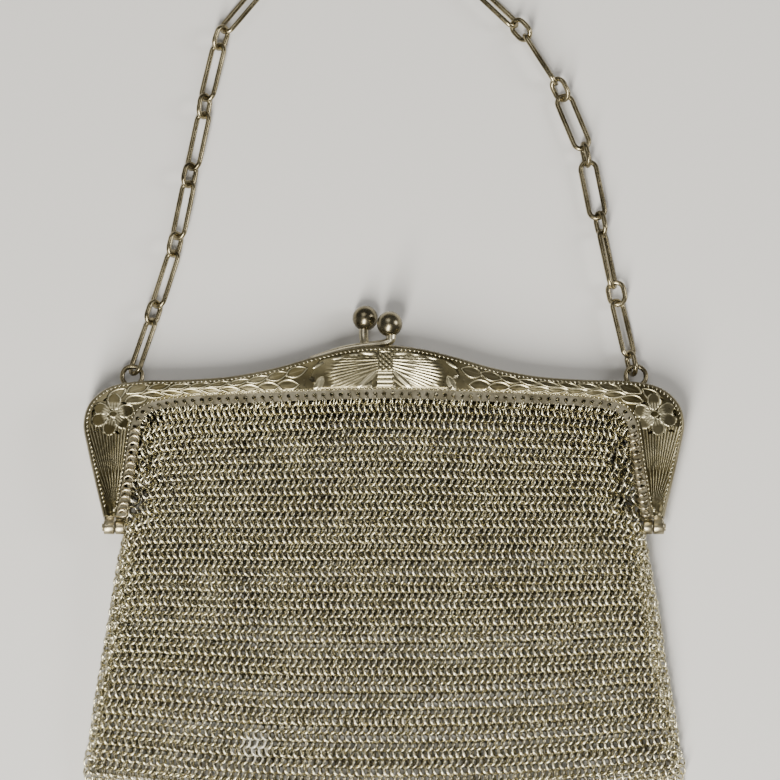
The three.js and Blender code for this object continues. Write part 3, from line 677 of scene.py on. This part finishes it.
def strip_piece(name, side):
    """Drilled lengths bent one after another along the mouth and closed at both ends."""
    points, faces = strip_cell()
    count = int(strip_length / hole_pitch)
    shares = even_shares(strip_middle, 40 * count + 1)[0]
    bm = bmesh.new()
    for cell in range(count):
        where = (cell + 0.5 + points[:, 0]) / count
        outer, inward, width = band_at(np.interp(where, np.linspace(0, 1, len(shares)), shares))
        inset = width - strip_width * (1 - points[:, 1])
        flat = outer + inward * inset[:, None]
        rise = strip_rise + points[:, 2] * sheet * 0.8 + 0.12 * (1 - points[:, 1])
        corners = [
            bm.verts.new(Vector((x, y + hinge_line, half_depth + side * up)) * mm)
            for (x, y), up in zip(flat, rise)
        ]
        for face in faces:
            bm.faces.new([corners[k] for k in face])
    bmesh.ops.remove_doubles(bm, verts=bm.verts, dist=2e-6)
    bmesh.ops.holes_fill(bm, edges=[edge for edge in bm.edges if edge.is_boundary], sides=0)
    bmesh.ops.recalc_face_normals(bm, faces=bm.faces)
    return finished(name, bm)


strip_metal = metal(
    "strip_silver", (0.46, 0.42, 0.31), (0.18, 0.155, 0.09), 0.33, patch=0.8, patch_scale=200
)
for name, side, slot in (("front_strip", 1, "frame"), ("back_strip", -1, "back_frame")):
    strip = strip_piece(name, side)
    dress(strip, strip_metal, 40)


# Back half of the frame. The same band pressed plain, smooth and a little duller, closes under the front.
# Its face carries no ornament, and its loops and clasp arm are soldered to it.
def plain_face(x, y, run, lane, face_width):
    return np.zeros_like(x), np.full_like(x, 0.6)


plain_metal = metal("plain_silver", (0.46, 0.42, 0.29), (0.17, 0.15, 0.09), 0.34)
back_places, _ = half_shell(-1, along=420, face_rows=10, ornament=plain_face)
back = mesh_object("back_frame_shell", back_places)
dress(back, plain_metal)
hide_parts("back_frame")


# Snap clasp. Each half carries a drawn wire soldered along its crown that ends in a hollow ball,
# coloured darker than the wire as a painted dark reflection, and the two balls pass each other to hold the
# purse shut.
ball_radius = 3.0
ball_rise = 1.9
clasp_centre = -1.55
ball_offset = 2.87
ball_standoff = 5.4
back_ball_lift = 2.1
arm_reach = 15.7
arm_rise = 2.2
arm_tip_radius = 0.35
arm_radius = 0.8
stem_radius = 1.1

arm_offsets = [
    # share of the arm's reach from its ball, height over the band's edge
    (1, 0.1),
    (0.8, 0.14),
    (0.6, 0.18),
    (0.4, 0.26),
    (0.2, 0.38),
    (0.04, 0.55),
]

edge_shares = np.linspace(0, 1, 2000)
above_shoulders = slice(400, 1600)
outer_line = smooth_path(outer_points, edge_shares)
inner_line = smooth_path(inner_points, edge_shares)


def edge_over(line, x):
    """Height of an edge of the band over places across the purse, above the shoulders."""
    above = line[above_shoulders]
    return np.interp(x, above[:, 0], above[:, 1])


def tube(name, path, radius_at, sides):
    """A round wire through a row of close places; its radius follows the share of the way along."""
    path = [Vector(place) for place in path]
    shares = np.linspace(0, 1, len(path))
    ahead = [(b - a).normalized() for a, b in zip(path, path[1:])]
    ahead.append(ahead[-1])
    side = ahead[0].orthogonal().normalized()
    rows = []
    for place, along, share in zip(path, ahead, shares):
        side = (side - along * side.dot(along)).normalized()
        other = along.cross(side)
        ring = []
        for k in range(sides):
            turn = 2 * math.pi * k / sides
            ring.append(place + (side * math.cos(turn) + other * math.sin(turn)) * radius_at(share))
        rows.append(ring)
    return mesh_object(name, np.array(rows) * mm)


def joined(first, second):
    """Joins a second made piece into the first one's mesh."""
    bm = bmesh.new()
    bm.from_mesh(first.data)
    bm.from_mesh(second.data)
    bpy.data.objects.remove(second)
    bm.to_mesh(first.data)
    bm.free()
    first.data.shade_smooth()
    return first


def ball_at(name, place, radius):
    bm = bmesh.new()
    bmesh.ops.create_uvsphere(bm, u_segments=40, v_segments=24, radius=radius * mm)
    bmesh.ops.translate(bm, verts=bm.verts, vec=Vector(place) * mm)
    return finished(name, bm)


def clasp_half(name, side):
    """The wire and the ball of one half; the back's stands further out to clear the front's."""
    lift = 0 if side > 0 else back_ball_lift
    level = half_depth + side * arm_rise
    path = []
    for reach, off in arm_offsets:
        x = clasp_centre - side * reach * arm_reach
        path.append((x, edge_over(outer_line, x) + off + hinge_line, level))
    ball = Vector((
        clasp_centre + side * ball_offset,
        crown_height + ball_standoff + lift + hinge_line,
        half_depth + side * ball_rise,
    ))
    path.append((ball.x - side * 0.2, crown_height + arm_rise * 0.55 + hinge_line, ball.z))
    path.append((ball.x + side * 0.35, ball.y - ball_radius * 0.9, ball.z))
    path.append(tuple(ball))
    wire = smooth_path(path, np.linspace(0, 1, 72))

    def radius_at(share):
        return np.interp(share, (0, 0.3, 0.7, 0.8), (arm_tip_radius, arm_radius, arm_radius, stem_radius))

    arm = tube(name, wire, radius_at, 14)
    return arm, ball_at(name + "_ball", ball, ball_radius)


wire_metal = metal("clasp_wire_silver", (0.64, 0.58, 0.42), (0.32, 0.28, 0.18), 0.28)
# The balls' dark colour is a painted dark reflection.
ball_painted_dark_metal = metal("ball_silver_painted_dark_reflection", (0.28, 0.25, 0.17), (0.09, 0.075, 0.045), 0.25, patch=0.8, patch_scale=260)
for name, side, slot in (("front_clasp", 1, "frame"), ("back_clasp", -1, "back_frame")):
    arm, ball = clasp_half(name, side)
    dress(arm, wire_metal)
    dress(ball, ball_painted_dark_metal)


# Hinges. A barrel on the foot of each arm is rolled from the same sheet, one knuckle to each half,
# and a drawn pin with small round heads holds them together.
foot_height = 1.2
pin_radius = 0.6
hinge_inner = mouth_half_width + clearance
hinge_outer = hinge_half_width - clearance
hinge_seam = (hinge_inner + hinge_outer) / 2


def turned(bm, hand, start, stop, radius, edge):
    """A round bar across the purse with softened ends, on the hinge's axis."""
    depth = (stop - start) * mm
    bar = bmesh.ops.create_cone(
        bm, cap_ends=True, segments=28, radius1=radius * mm, radius2=radius * mm, depth=depth
    )
    made = bar["verts"]
    axis = Vector((hand * (start + stop) / 2, hinge_line - barrel_radius - clearance, half_depth)) * mm
    bmesh.ops.transform(
        bm, matrix=Matrix.Translation(axis) @ Matrix.Rotation(math.pi / 2, 4, "Y"), verts=made
    )
    caps = {e for v in made for e in v.link_edges if any(len(f.verts) > 4 for f in e.link_faces)}
    bmesh.ops.bevel(
        bm, geom=list(caps), offset=edge * mm, affect="EDGES", segments=3, profile=0.5, material=-1
    )


def hinge_block(bm, hand, x_span, y_span, z_span):
    """A block with softened edges that ties a knuckle to its arm."""
    made = bmesh.ops.create_cube(bm, size=1)["verts"]
    spans = [sorted((hand * x_span[0], hand * x_span[1])), y_span, z_span]
    middle = Vector([(low + high) / 2 for low, high in spans]) + Vector((0, hinge_line, 0))
    size = [(high - low) * mm for low, high in spans]
    pose = Matrix.Translation(middle * mm) @ Matrix.Diagonal((*size, 1))
    bmesh.ops.transform(bm, matrix=pose, verts=made)
    edges = {e for v in made for e in v.link_edges}
    bmesh.ops.bevel(
        bm, geom=list(edges), offset=0.12 * mm, affect="EDGES", segments=2, profile=0.5, material=-1
    )


hinge_metal = metal("hinge_silver", (0.46, 0.42, 0.3), (0.18, 0.15, 0.09), 0.3, patch=0.7, patch_scale=200)
for hand, name in ((-1, "left_hinge"), (1, "right_hinge")):
    bm = bmesh.new()
    turned(bm, hand, hinge_inner, hinge_seam - 0.05, barrel_radius, 0.3)
    turned(bm, hand, hinge_seam + 0.05, hinge_outer + clearance, barrel_radius, 0.3)
    turned(bm, hand, hinge_inner - 0.1, hinge_outer + clearance + 0.05, pin_radius, 0.05)
    turned(bm, hand, hinge_outer + clearance, hinge_outer + clearance + 0.4, pin_radius * 1.5, 0.18)
    for side, span in ((1, (hinge_seam + 0.2, hinge_outer)), (-1, (hinge_inner + 0.02, hinge_seam - 0.2))):
        low, high = sorted((half_depth + side * parting, half_depth + side * (strip_rise - sheet / 2)))
        hinge_block(bm, hand, (hinge_inner + 0.1, hinge_outer), (0, foot_height), (low, high))
        low, high = sorted((half_depth + side * parting, half_depth + side * (barrel_radius - 0.1)))
        hinge_block(bm, hand, span, (-barrel_radius - clearance, foot_height / 2), (low, high))
    hinge = finished(name, bm)
    dress(hinge, hinge_metal, 50)
    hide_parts(name + "_pin")


# Chain loops. Two rings of stout wire are soldered flat against the top of the back half,
# one over each shoulder, to carry the ends of the chain.
loop_radius = 2.35
loop_wire_radius = 0.55
loop_standoff = 2.3
loop_drop = 2.2
loop_x = 0.843 * frame_half_width
loop_y = edge_over(outer_line, loop_x) + loop_standoff + hinge_line
loop_z = half_depth - loop_drop
loop_lean = math.radians(20)
loop_play = 0.5


def ring_shape(radius, wire_radius, around, sides):
    """A round ring of wire about Z, made by spinning the wire's section."""
    bm = bmesh.new()
    bmesh.ops.create_circle(bm, segments=sides, radius=wire_radius * mm)
    pose = Matrix.Translation((radius * mm, 0, 0)) @ Matrix.Rotation(math.pi / 2, 4, "X")
    bmesh.ops.transform(bm, matrix=pose, verts=bm.verts)
    bmesh.ops.spin(
        bm, geom=bm.edges[:], cent=(0, 0, 0), axis=(0, 0, 1), angle=2 * math.pi, steps=around, use_merge=True
    )
    bmesh.ops.recalc_face_normals(bm, faces=bm.faces)
    return bm


loop_points, loop_faces = mesh_arrays(ring_shape(loop_radius, loop_wire_radius, 32, 12))
loop_places = np.array([(-loop_x, loop_y, loop_z), (loop_x, loop_y, loop_z)]) * mm
loop_turns = np.tile(np.eye(3), (2, 1, 1))
loops = joined_copies("chain_loops", loop_points, loop_faces, loop_turns, loop_places)
chain_metal = metal(
    "chain_silver", (0.34, 0.295, 0.185), (0.085, 0.07, 0.038), 0.26, patch=0.8, patch_scale=160
)
dress(loops, chain_metal)


# Chain handle. Long and short links of drawn wire, bent round and soldered shut, lie in one loop
# from shoulder to shoulder, each rolled its own way between flat and on edge.
wire_radius = 0.6
long_link = 14.9
short_link = 6.5
link_width = 4.9
solder_bite = 0.26
slack_share = 0.4
bend_radius = link_width / 2 - wire_radius

chain_route = [
    # across as share of the loops' half spacing, up as share of the chain's reach
    (-0.925, 0.11),
    (-0.84, 0.27),
    (-0.788, 0.42),
    (-0.733, 0.57),
    (-0.69, 0.71),
    (-0.6, 0.85),
    (-0.35, 0.965),
    (-0.03, 1),
    (0.27, 0.95),
    (0.51, 0.83),
    (0.65, 0.72),
    (0.78, 0.56),
    (0.835, 0.42),
    (0.885, 0.27),
    (0.94, 0.12),
]
link_rolls = [
    # degrees out of flat of each long link and the short one after it, from left to right
    (-52, 50),
    (-43, 53),
    (-41, 50),
    (-39, 55),
    (-36, 52),
    (-42, 48),
    (-38, 54),
    (-44, 47),
    (-40, 52),
    (-52, 40),
    (-80, 45),
    (-5, 78),
    (4, 63),
    (-66, 8),
    (-45, 68),
]


def link_list():
    """Length, roll in radians and sideways slack of each link from the left loop to the right one."""
    links = []
    for long_roll, short_roll in link_rolls:
        links.append((long_link, math.radians(long_roll), 0))
        links.append((short_link, math.radians(short_roll), slack_share))
    links[-1] = (*links[-1][:2], 0)
    return links


def link_span(length, aside):
    return length - link_width + 2 * math.sqrt(bend_radius ** 2 - aside ** 2) - 2 * wire_radius + solder_bite


def contacts_for(links, reach):
    """Places where neighbouring links meet for one reach of the loop, or none where it is too short."""
    start_x = loop_x - loop_radius * math.sin(loop_lean)
    start = np.array((-start_x, loop_y + loop_radius * math.cos(loop_lean)))
    away = loop_wire_radius + loop_play + solder_bite / 2
    inner = [(across * loop_x, start[1] + up * reach) for across, up in chain_route]

    def leave(place, toward):
        step = np.subtract(toward, place)
        return tuple(place - step / np.hypot(*step) * away)

    route = [leave(start, inner[0]), *inner, leave((start_x, start[1]), inner[-1])]
    line = smooth_path(route, np.linspace(0, 1, 6000))
    run = np.concatenate([[0], np.cumsum(np.hypot(*np.diff(line, axis=0).T))])
    rests = [bend_radius * abs(math.sin(roll)) + wire_radius for _, roll, _ in links]
    meets = [rest - aside * abs(math.sin(roll)) for rest, (_, roll, aside) in zip(rests, links)]
    level = [loop_z, *(max(a, b) for a, b in zip(meets, meets[1:])), loop_z]
    places = [(*line[0], level[0])]
    here = 0
    for j, (length, roll, aside) in enumerate(links):
        span = link_span(length, aside)
        flat = math.sqrt(span ** 2 - (level[j + 1] - level[j]) ** 2)
        if run[here] + flat * 0.99 > run[-1]:
            return None, -1
        gap = np.hypot(*(line[here:] - line[here]).T)
        ahead = np.argmax(gap >= flat)
        here = here + ahead if gap[ahead] >= flat else len(line) - 1
        places.append((*line[here], level[j + 1]))
    return places, run[-1] - run[here]


links = link_list()
low_reach, high_reach = 40.0, 400.0
for _ in range(30):
    middle_reach = (low_reach + high_reach) / 2
    if contacts_for(links, middle_reach)[1] < 0:
        low_reach = middle_reach
    else:
        high_reach = middle_reach
contacts = [Vector(place) for place in contacts_for(links, high_reach)[0]]


def link_shape(length):
    """A link along X: the wire's section spun round one end, drawn straight and spun round the other."""
    straight = (length - link_width) * mm
    bm = bmesh.new()
    bmesh.ops.create_circle(bm, segments=10, radius=wire_radius * mm)
    pose = Matrix.Translation((straight / 2, -bend_radius * mm, 0)) @ Matrix.Rotation(math.pi / 2, 4, "Y")
    bmesh.ops.transform(bm, matrix=pose, verts=bm.verts)
    reached = bm.edges[:]
    for end in (straight / 2, -straight / 2):
        swept = bmesh.ops.spin(
            bm, geom=reached, cent=(end, 0, 0), axis=(0, 0, 1), angle=math.pi, steps=12
        )["geom_last"]
        reached = only(bmesh.types.BMEdge, swept)
        if end > 0:
            drawn = bmesh.ops.extrude_edge_only(bm, edges=reached)["geom"]
            bmesh.ops.translate(bm, verts=only(bmesh.types.BMVert, drawn), vec=(-straight, 0, 0))
            reached = only(bmesh.types.BMEdge, drawn)
    bmesh.ops.bridge_loops(bm, edges=[edge for edge in bm.edges if edge.is_boundary])
    bmesh.ops.recalc_face_normals(bm, faces=bm.faces)
    return mesh_arrays(bm)


chain_turns = {long_link: [], short_link: []}
chain_places = {long_link: [], short_link: []}
for (length, roll, aside), start, stop in zip(links, contacts, contacts[1:]):
    along = (stop - start).normalized()
    level = Vector((0, 0, 1)).cross(along).normalized()
    up = along.cross(level)
    side = level * math.cos(roll) + up * math.sin(roll)
    shift = side * (math.copysign(1, side.z) * aside)
    chain_turns[length].append(np.array(Matrix((along, side, along.cross(side))).transposed()))
    chain_places[length].append(np.array((start + stop) / 2 + shift) * mm)
made_links = []
for length in (long_link, short_link):
    points, faces = link_shape(length)
    turns = np.array(chain_turns[length])
    places = np.array(chain_places[length])
    made_links.append(joined_copies(f"links_{len(made_links)}", points, faces, turns, places))
chain = joined(*made_links)
chain.name = "link_chain"
dress(chain, chain_metal)
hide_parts("chain_handle")


# Mesh of the bag. Rings of fine nickel silver wire pass through two rings of the row above and two of
# the row below, so every row leans the other way from its neighbours. The back's rings are rougher and
# coloured darker, a painted shade for the inside of the bag seen through the gaps.
foot_half_width = mouth_half_width + 9.3
foot_depth = 59.0
foot_sag = 4.6
mouth_tuck = 1.0
corner_share = 0.84
ring_radius = 1.33
ring_wire = 0.25
rows_down = 48
columns_round = 168
ring_lean = math.radians(43)
ring_tip = math.radians(-15)
open_share = 0.7
arm_zone = 53.0
hinge_zone = -1.0
gather = 0.38
disorder = 0.05
seat_back = half_depth - (strip_rise - sheet) + clearance
seat_front = frame_depth - seat_back

bag_rows = [
    # share of the way down, back of the section, front of the section
    (0, seat_back, seat_front),
    (0.06, seat_back, seat_front),
    (0.16, seat_back * 0.3, seat_front * 0.99),
    (0.26, 0, seat_front * 0.97),
    (0.36, 0, seat_front * 0.96),
    (0.5, 0, seat_front * 0.93),
    (0.64, 0, seat_front * 0.84),
    (0.78, 0, seat_front * 0.73),
    (0.9, 0, seat_front * 0.6),
    (0.97, 0, seat_front * 0.48),
    (1, 0.5, 3.2),
]
bag_folds = [
    # across, depth, half width, where it starts, where it ends
    (0.22, -0.4, 0.16, 0.1, 0.75),
    (-0.05, 0.35, 0.14, 0.12, 0.9),
    (-0.42, -0.4, 0.12, 0.12, 0.5),
    (0.62, -0.35, 0.14, 0.2, 0.95),
    (-0.68, 0.3, 0.15, 0.3, 1.0),
]

corner = smooth_path(inner_points, [corner_share])[0]
hinge_clear = mouth_half_width - clearance
side_line = smooth_path([
    (corner[0] + mouth_tuck, corner[1]),
    ((corner[0] + mouth_tuck + hinge_clear) / 2, corner[1] * 0.45),
    (hinge_clear, 0),
    (hinge_clear, -2 * barrel_radius - clearance),
    (hinge_clear + (foot_half_width - hinge_clear) * 0.25, -foot_depth * 0.27),
    (hinge_clear + (foot_half_width - hinge_clear) * 0.62, -foot_depth * 0.64),
    (foot_half_width, -foot_depth),
], np.linspace(0, 1, 800))


def bag_half_width(down):
    level = side_line[0, 1] + (-foot_depth - side_line[0, 1]) * down
    return np.interp(-level, -side_line[:, 1], side_line[:, 0])


def bag_height(across, down):
    """Place along Y of a point of the bag's wall."""
    top_x = across * side_line[0, 0]
    top = edge_over(inner_line, np.clip(top_x, -corner[0], corner[0]))
    rounding = np.clip((np.abs(top_x) - corner[0]) / mouth_tuck, 0, 1)
    top = top + mouth_tuck * np.sqrt(1 - rounding ** 2)
    foot = -foot_depth - foot_sag * (1 - across ** 2)
    return top + (foot - top) * down


def fold_at(across, down):
    """How far the folds lift the front wall."""
    total = np.zeros_like(across)
    for place, depth, spread, start, end in bag_folds:
        aside = np.minimum(1, np.abs(across - place) / spread)
        along = np.clip((down - start) / (end - start), 0, 1)
        total += depth * np.cos(aside * math.pi / 2) ** 2 * np.sin(along * math.pi)
    return total


profile = np.array(bag_rows, float)
rng = np.random.default_rng(7)


def soft_noise(count_rows, count_columns, step, strength):
    """Smooth random waves over the rows and columns of the mesh."""
    coarse = rng.normal(0, strength, (count_rows // step + 3, count_columns // step + 3))
    rows = np.arange(count_rows) / step
    columns = np.arange(count_columns) / step
    row = rows.astype(int)
    column = columns.astype(int)
    down = soft_step(0, 1, rows - row)[:, None]
    over = soft_step(0, 1, columns - column)[None, :]
    above = coarse[row][:, column] * (1 - over) + coarse[row][:, column + 1] * over
    below = coarse[row + 1][:, column] * (1 - over) + coarse[row + 1][:, column + 1] * over
    return above * (1 - down) + below * down


def mesh_rings():
    """Turn, place and side (front, back or fold) of every ring of the bag."""
    turns, places, sides = [], [], []
    lean_waves = soft_noise(rows_down, columns_round, 6, math.radians(4))
    shift_waves = soft_noise(rows_down, columns_round, 4, 0.12)
    lift_waves = soft_noise(rows_down, columns_round, 9, 0.16)
    thick = ring_radius * math.sin(ring_lean) + ring_wire
    for j in range(rows_down):
        down = (j + 0.4) / rows_down
        half = bag_half_width(down)
        low = np.interp(down, profile[:, 0], profile[:, 1]) + thick
        high = np.interp(down, profile[:, 0], profile[:, 2]) - thick
        fold_high = max((high - low) / 2, 0.25)
        fold_wide = 0.3 + (fold_high - 0.3) * soft_step(0.3, 0.55, down)
        flat = half - ring_radius * 0.4 - fold_wide
        fold = math.pi * math.sqrt((fold_wide ** 2 + fold_high ** 2) / 2)
        middle = (low + high) / 2
        loop = 4 * flat + 2 * fold
        tip = ring_tip * soft_step(-0.05, 0.14, down)
        run = (np.arange(columns_round) + 0.5 * (j % 2)) / columns_round * loop
        for i, s in enumerate(run):
            if s < 2 * flat:
                x, z, out, side = -flat + s, high, 0.0, 0
            elif s < 2 * flat + fold:
                out = (s - 2 * flat) / fold * math.pi
                x, z, side = flat + fold_wide * math.sin(out), middle + fold_high * math.cos(out), 2
            elif s < 4 * flat + fold:
                x, z, out, side = flat - (s - 2 * flat - fold), low, math.pi, 1
            else:
                out = math.pi + (s - 4 * flat - fold) / fold * math.pi
                x, z, side = -flat + fold_wide * math.sin(out), middle + fold_high * math.cos(out), 2
            across = np.float64(np.clip(x / half, -1, 1))
            y = bag_height(across, down)
            beside_arm = abs(x) > arm_zone and y > hinge_zone
            if side == 2 and y > hinge_zone or beside_arm and rng.random() > open_share:
                continue
            if side == 0:
                z += fold_at(np.array([across]), down)[0] + lift_waves[j, i]
            gathered = gather * soft_step(0.15, 0.02, down) * soft_step(-0.6, -0.1, across)
            lean = ring_lean * (1 + gathered) + lean_waves[j, i] + rng.normal(0, math.radians(3))
            turn = out + (1 if j % 2 else -1) * lean
            spin = Matrix.Rotation(turn, 3, "Y") @ Matrix.Rotation(tip + rng.normal(0, disorder), 3, "X")
            size = rng.uniform(1.08, 1.25) if beside_arm else 1
            reach = ring_radius * size * math.sqrt(1 - spin[2][2] ** 2) + ring_wire * size + 0.02
            turns.append(np.array(spin) * size)
            places.append((
                x + shift_waves[j, i] + rng.normal(0, disorder),
                y + hinge_line + rng.normal(0, disorder),
                max(z, reach),
            ))
            sides.append(side)
    return np.array(turns), np.array(places) * mm, np.array(sides)


def stained(material, place, reach):
    """Adds a pale crust round one place of a metal."""
    tree = material.node_tree
    shader = tree.nodes["Principled BSDF"].inputs
    away = tree.nodes.new("ShaderNodeVectorMath")
    away.operation = "DISTANCE"
    away.inputs[1].default_value = place
    tree.links.new(tree.nodes.new("ShaderNodeTexCoord").outputs["Object"], away.inputs[0])
    amount = mapped(tree, away.outputs["Value"], 0, 1, reach, reach * 0.5)
    crust = tree.nodes.new("ShaderNodeMix")
    crust.data_type = "RGBA"
    crust.inputs["B"].default_value = (0.74, 0.72, 0.61, 1)
    tree.links.new(amount, crust.inputs["Factor"])
    tree.links.new(shader["Base Color"].links[0].from_socket, crust.inputs["A"])
    tree.links.new(crust.outputs["Result"], shader["Base Color"])
    tree.links.new(mapped(tree, amount, 1.0, 0.3), shader["Metallic"])


ring_metal = metal(
    "ring_silver", (0.86, 0.81, 0.6), (0.26, 0.232, 0.145), 0.23, patch=0.6, patch_scale=420
)
# The back rings' darker colour is a painted shade.
back_ring_painted_shade_metal = metal(
    "painted_shade_ring_silver", (0.4, 0.365, 0.26), (0.1, 0.085, 0.05), 0.3, patch=0.7, patch_scale=420
)
stain_middle = Vector((-29.6, -53.4 + hinge_line, 7.0)) * mm
stain_reach = 5 * mm
stained(ring_metal, stain_middle, stain_reach)
ring_turns, ring_places, ring_sides = mesh_rings()
fine_points, fine_faces = mesh_arrays(ring_shape(ring_radius, ring_wire, 12, 5))
plain_points, plain_faces = mesh_arrays(ring_shape(ring_radius, ring_wire, 8, 3))
front_rings = np.flatnonzero(ring_sides != 1)
back_rings = np.flatnonzero(ring_sides == 1)
for side_name, chosen, parts, points, faces, finish in (
    ("front", front_rings, 3, fine_points, fine_faces, ring_metal),
    ("back", back_rings, 2, plain_points, plain_faces, back_ring_painted_shade_metal),
):
    for k, part in enumerate(np.array_split(chosen, parts)):
        name = f"{side_name}_mesh_{k + 1}"
        piece = joined_copies(name, points, faces, ring_turns[part], ring_places[part])
        dress(piece, finish)
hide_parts("mesh_bag")


# Hanging rings. One thin ring passes through each hole along the top, over the strip's edge and through
# the first row of the mesh; stouter ones, close together like a coil, lash it to the arms.
hang_radius = 1.2
hang_wire = 0.2
lash_radius = 1.0
lash_wire = 0.38
lash_step = 1.6
lash_inset = -0.8
hang_lean = (0.18, 0.12)
lash_lean = (0.72, 0.05)
hang_clear = 0.42


def hanging_rings(side):
    """Turns and places of the thin rings along the top and of the stout ones on the arms."""
    found = []
    for stout, step in ((False, hole_pitch), (True, lash_step)):
        count = int(strip_length / step)
        shares = even_shares(lambda width: width - strip_width * 0.55, 2 * count + 1)[0][1::2]
        outer, inward, width = band_at(shares)
        radius = lash_radius if stout else hang_radius
        turns, places = [], []
        for place, aim, across in zip(outer, inward, width):
            on_arm = abs(place[0]) > corner[0] and place[1] < corner[1] + 2
            if on_arm != stout:
                continue
            inset = lash_inset if stout else radius * 0.86 - strip_width * 0.36
            centre = place + aim * (across + inset)
            heading = Vector((aim[0], aim[1], 0))
            flat_way = Vector((-aim[1], aim[0], 0))
            lean = rng.normal(*(lash_lean if stout else hang_lean))
            upright = (Vector((0, 0, 1)) * math.cos(lean) + flat_way * math.sin(lean)).normalized()
            turns.append(np.array(Matrix((heading, upright, heading.cross(upright))).transposed()))
            level = half_depth + side * (strip_rise - sheet * 0.4)
            places.append((centre[0], centre[1] + hinge_line, max(level, radius + hang_clear)))
        found.append((np.array(turns), np.array(places) * mm))
    return found


lash_metal = metal("lash_silver", (0.62, 0.55, 0.385), (0.2, 0.17, 0.1), 0.3, patch=0.8, patch_scale=300)
thin_points, thin_faces = mesh_arrays(ring_shape(hang_radius, hang_wire, 14, 6))
stout_points, stout_faces = mesh_arrays(ring_shape(lash_radius, lash_wire, 16, 6))
for side, name in ((1, "front_hanging_rings"), (-1, "back_hanging_rings")):
    (turns, places), (stout_turns, stout_places) = hanging_rings(side)
    thin = joined_copies(name, thin_points, thin_faces, turns, places)
    stout = joined_copies(name + "_arms", stout_points, stout_faces, stout_turns, stout_places)
    dress(thin, ring_metal)
    dress(stout, lash_metal)


# Fringe. The last row of the mesh runs out into eight points, each a triangle of the same rings.
# They are linked into one another and lie nearly flat; one more row joins them to the bag's foot.
point_count = 8
point_share = 0.6
point_rows = 5
point_pitch = 2 / (point_count - 1 + point_share)
point_lean = math.radians(19)
point_row_step = 2.05
fringe_level = 0.75
foot_count = 80
foot_reach = 0.985
foot_lean = 0.75
foot_level = 1.4

fringe_turns, fringe_places = [], []
for k in range(point_count):
    middle = -1 + k * point_pitch + point_pitch * point_share / 2
    root_y = -foot_depth - foot_sag * (1 - middle ** 2) - clearance
    point_width = point_pitch * point_share * foot_half_width
    ring_step = (point_width - 2 * ring_radius) / (point_rows - 1)
    for row in range(point_rows):
        for i in range(point_rows - row):
            x = middle * foot_half_width + (i - (point_rows - row - 1) / 2) * ring_step
            y = root_y - ring_radius * 0.95 - row * point_row_step
            lean = (1 if row % 2 else -1) * point_lean + rng.normal(0, 0.04)
            fringe_turns.append(np.array(Matrix.Rotation(lean, 3, "Y")))
            fringe_places.append((x, y + hinge_line, fringe_level + abs(rng.normal(0, 0.05))))
for i in range(foot_count):
    across = -foot_reach + 2 * foot_reach * i / (foot_count - 1)
    y = -foot_depth - foot_sag * (1 - across ** 2) - 0.4
    fringe_turns.append(np.array(Matrix.Rotation(foot_lean + rng.normal(0, 0.05), 3, "Y")))
    fringe_places.append((across * foot_half_width, y + hinge_line, foot_level))
fringe = joined_copies(
    "fringe_rings", fine_points, fine_faces, np.array(fringe_turns), np.array(fringe_places) * mm
)
dress(fringe, ring_metal)
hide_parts("ring_fringe")
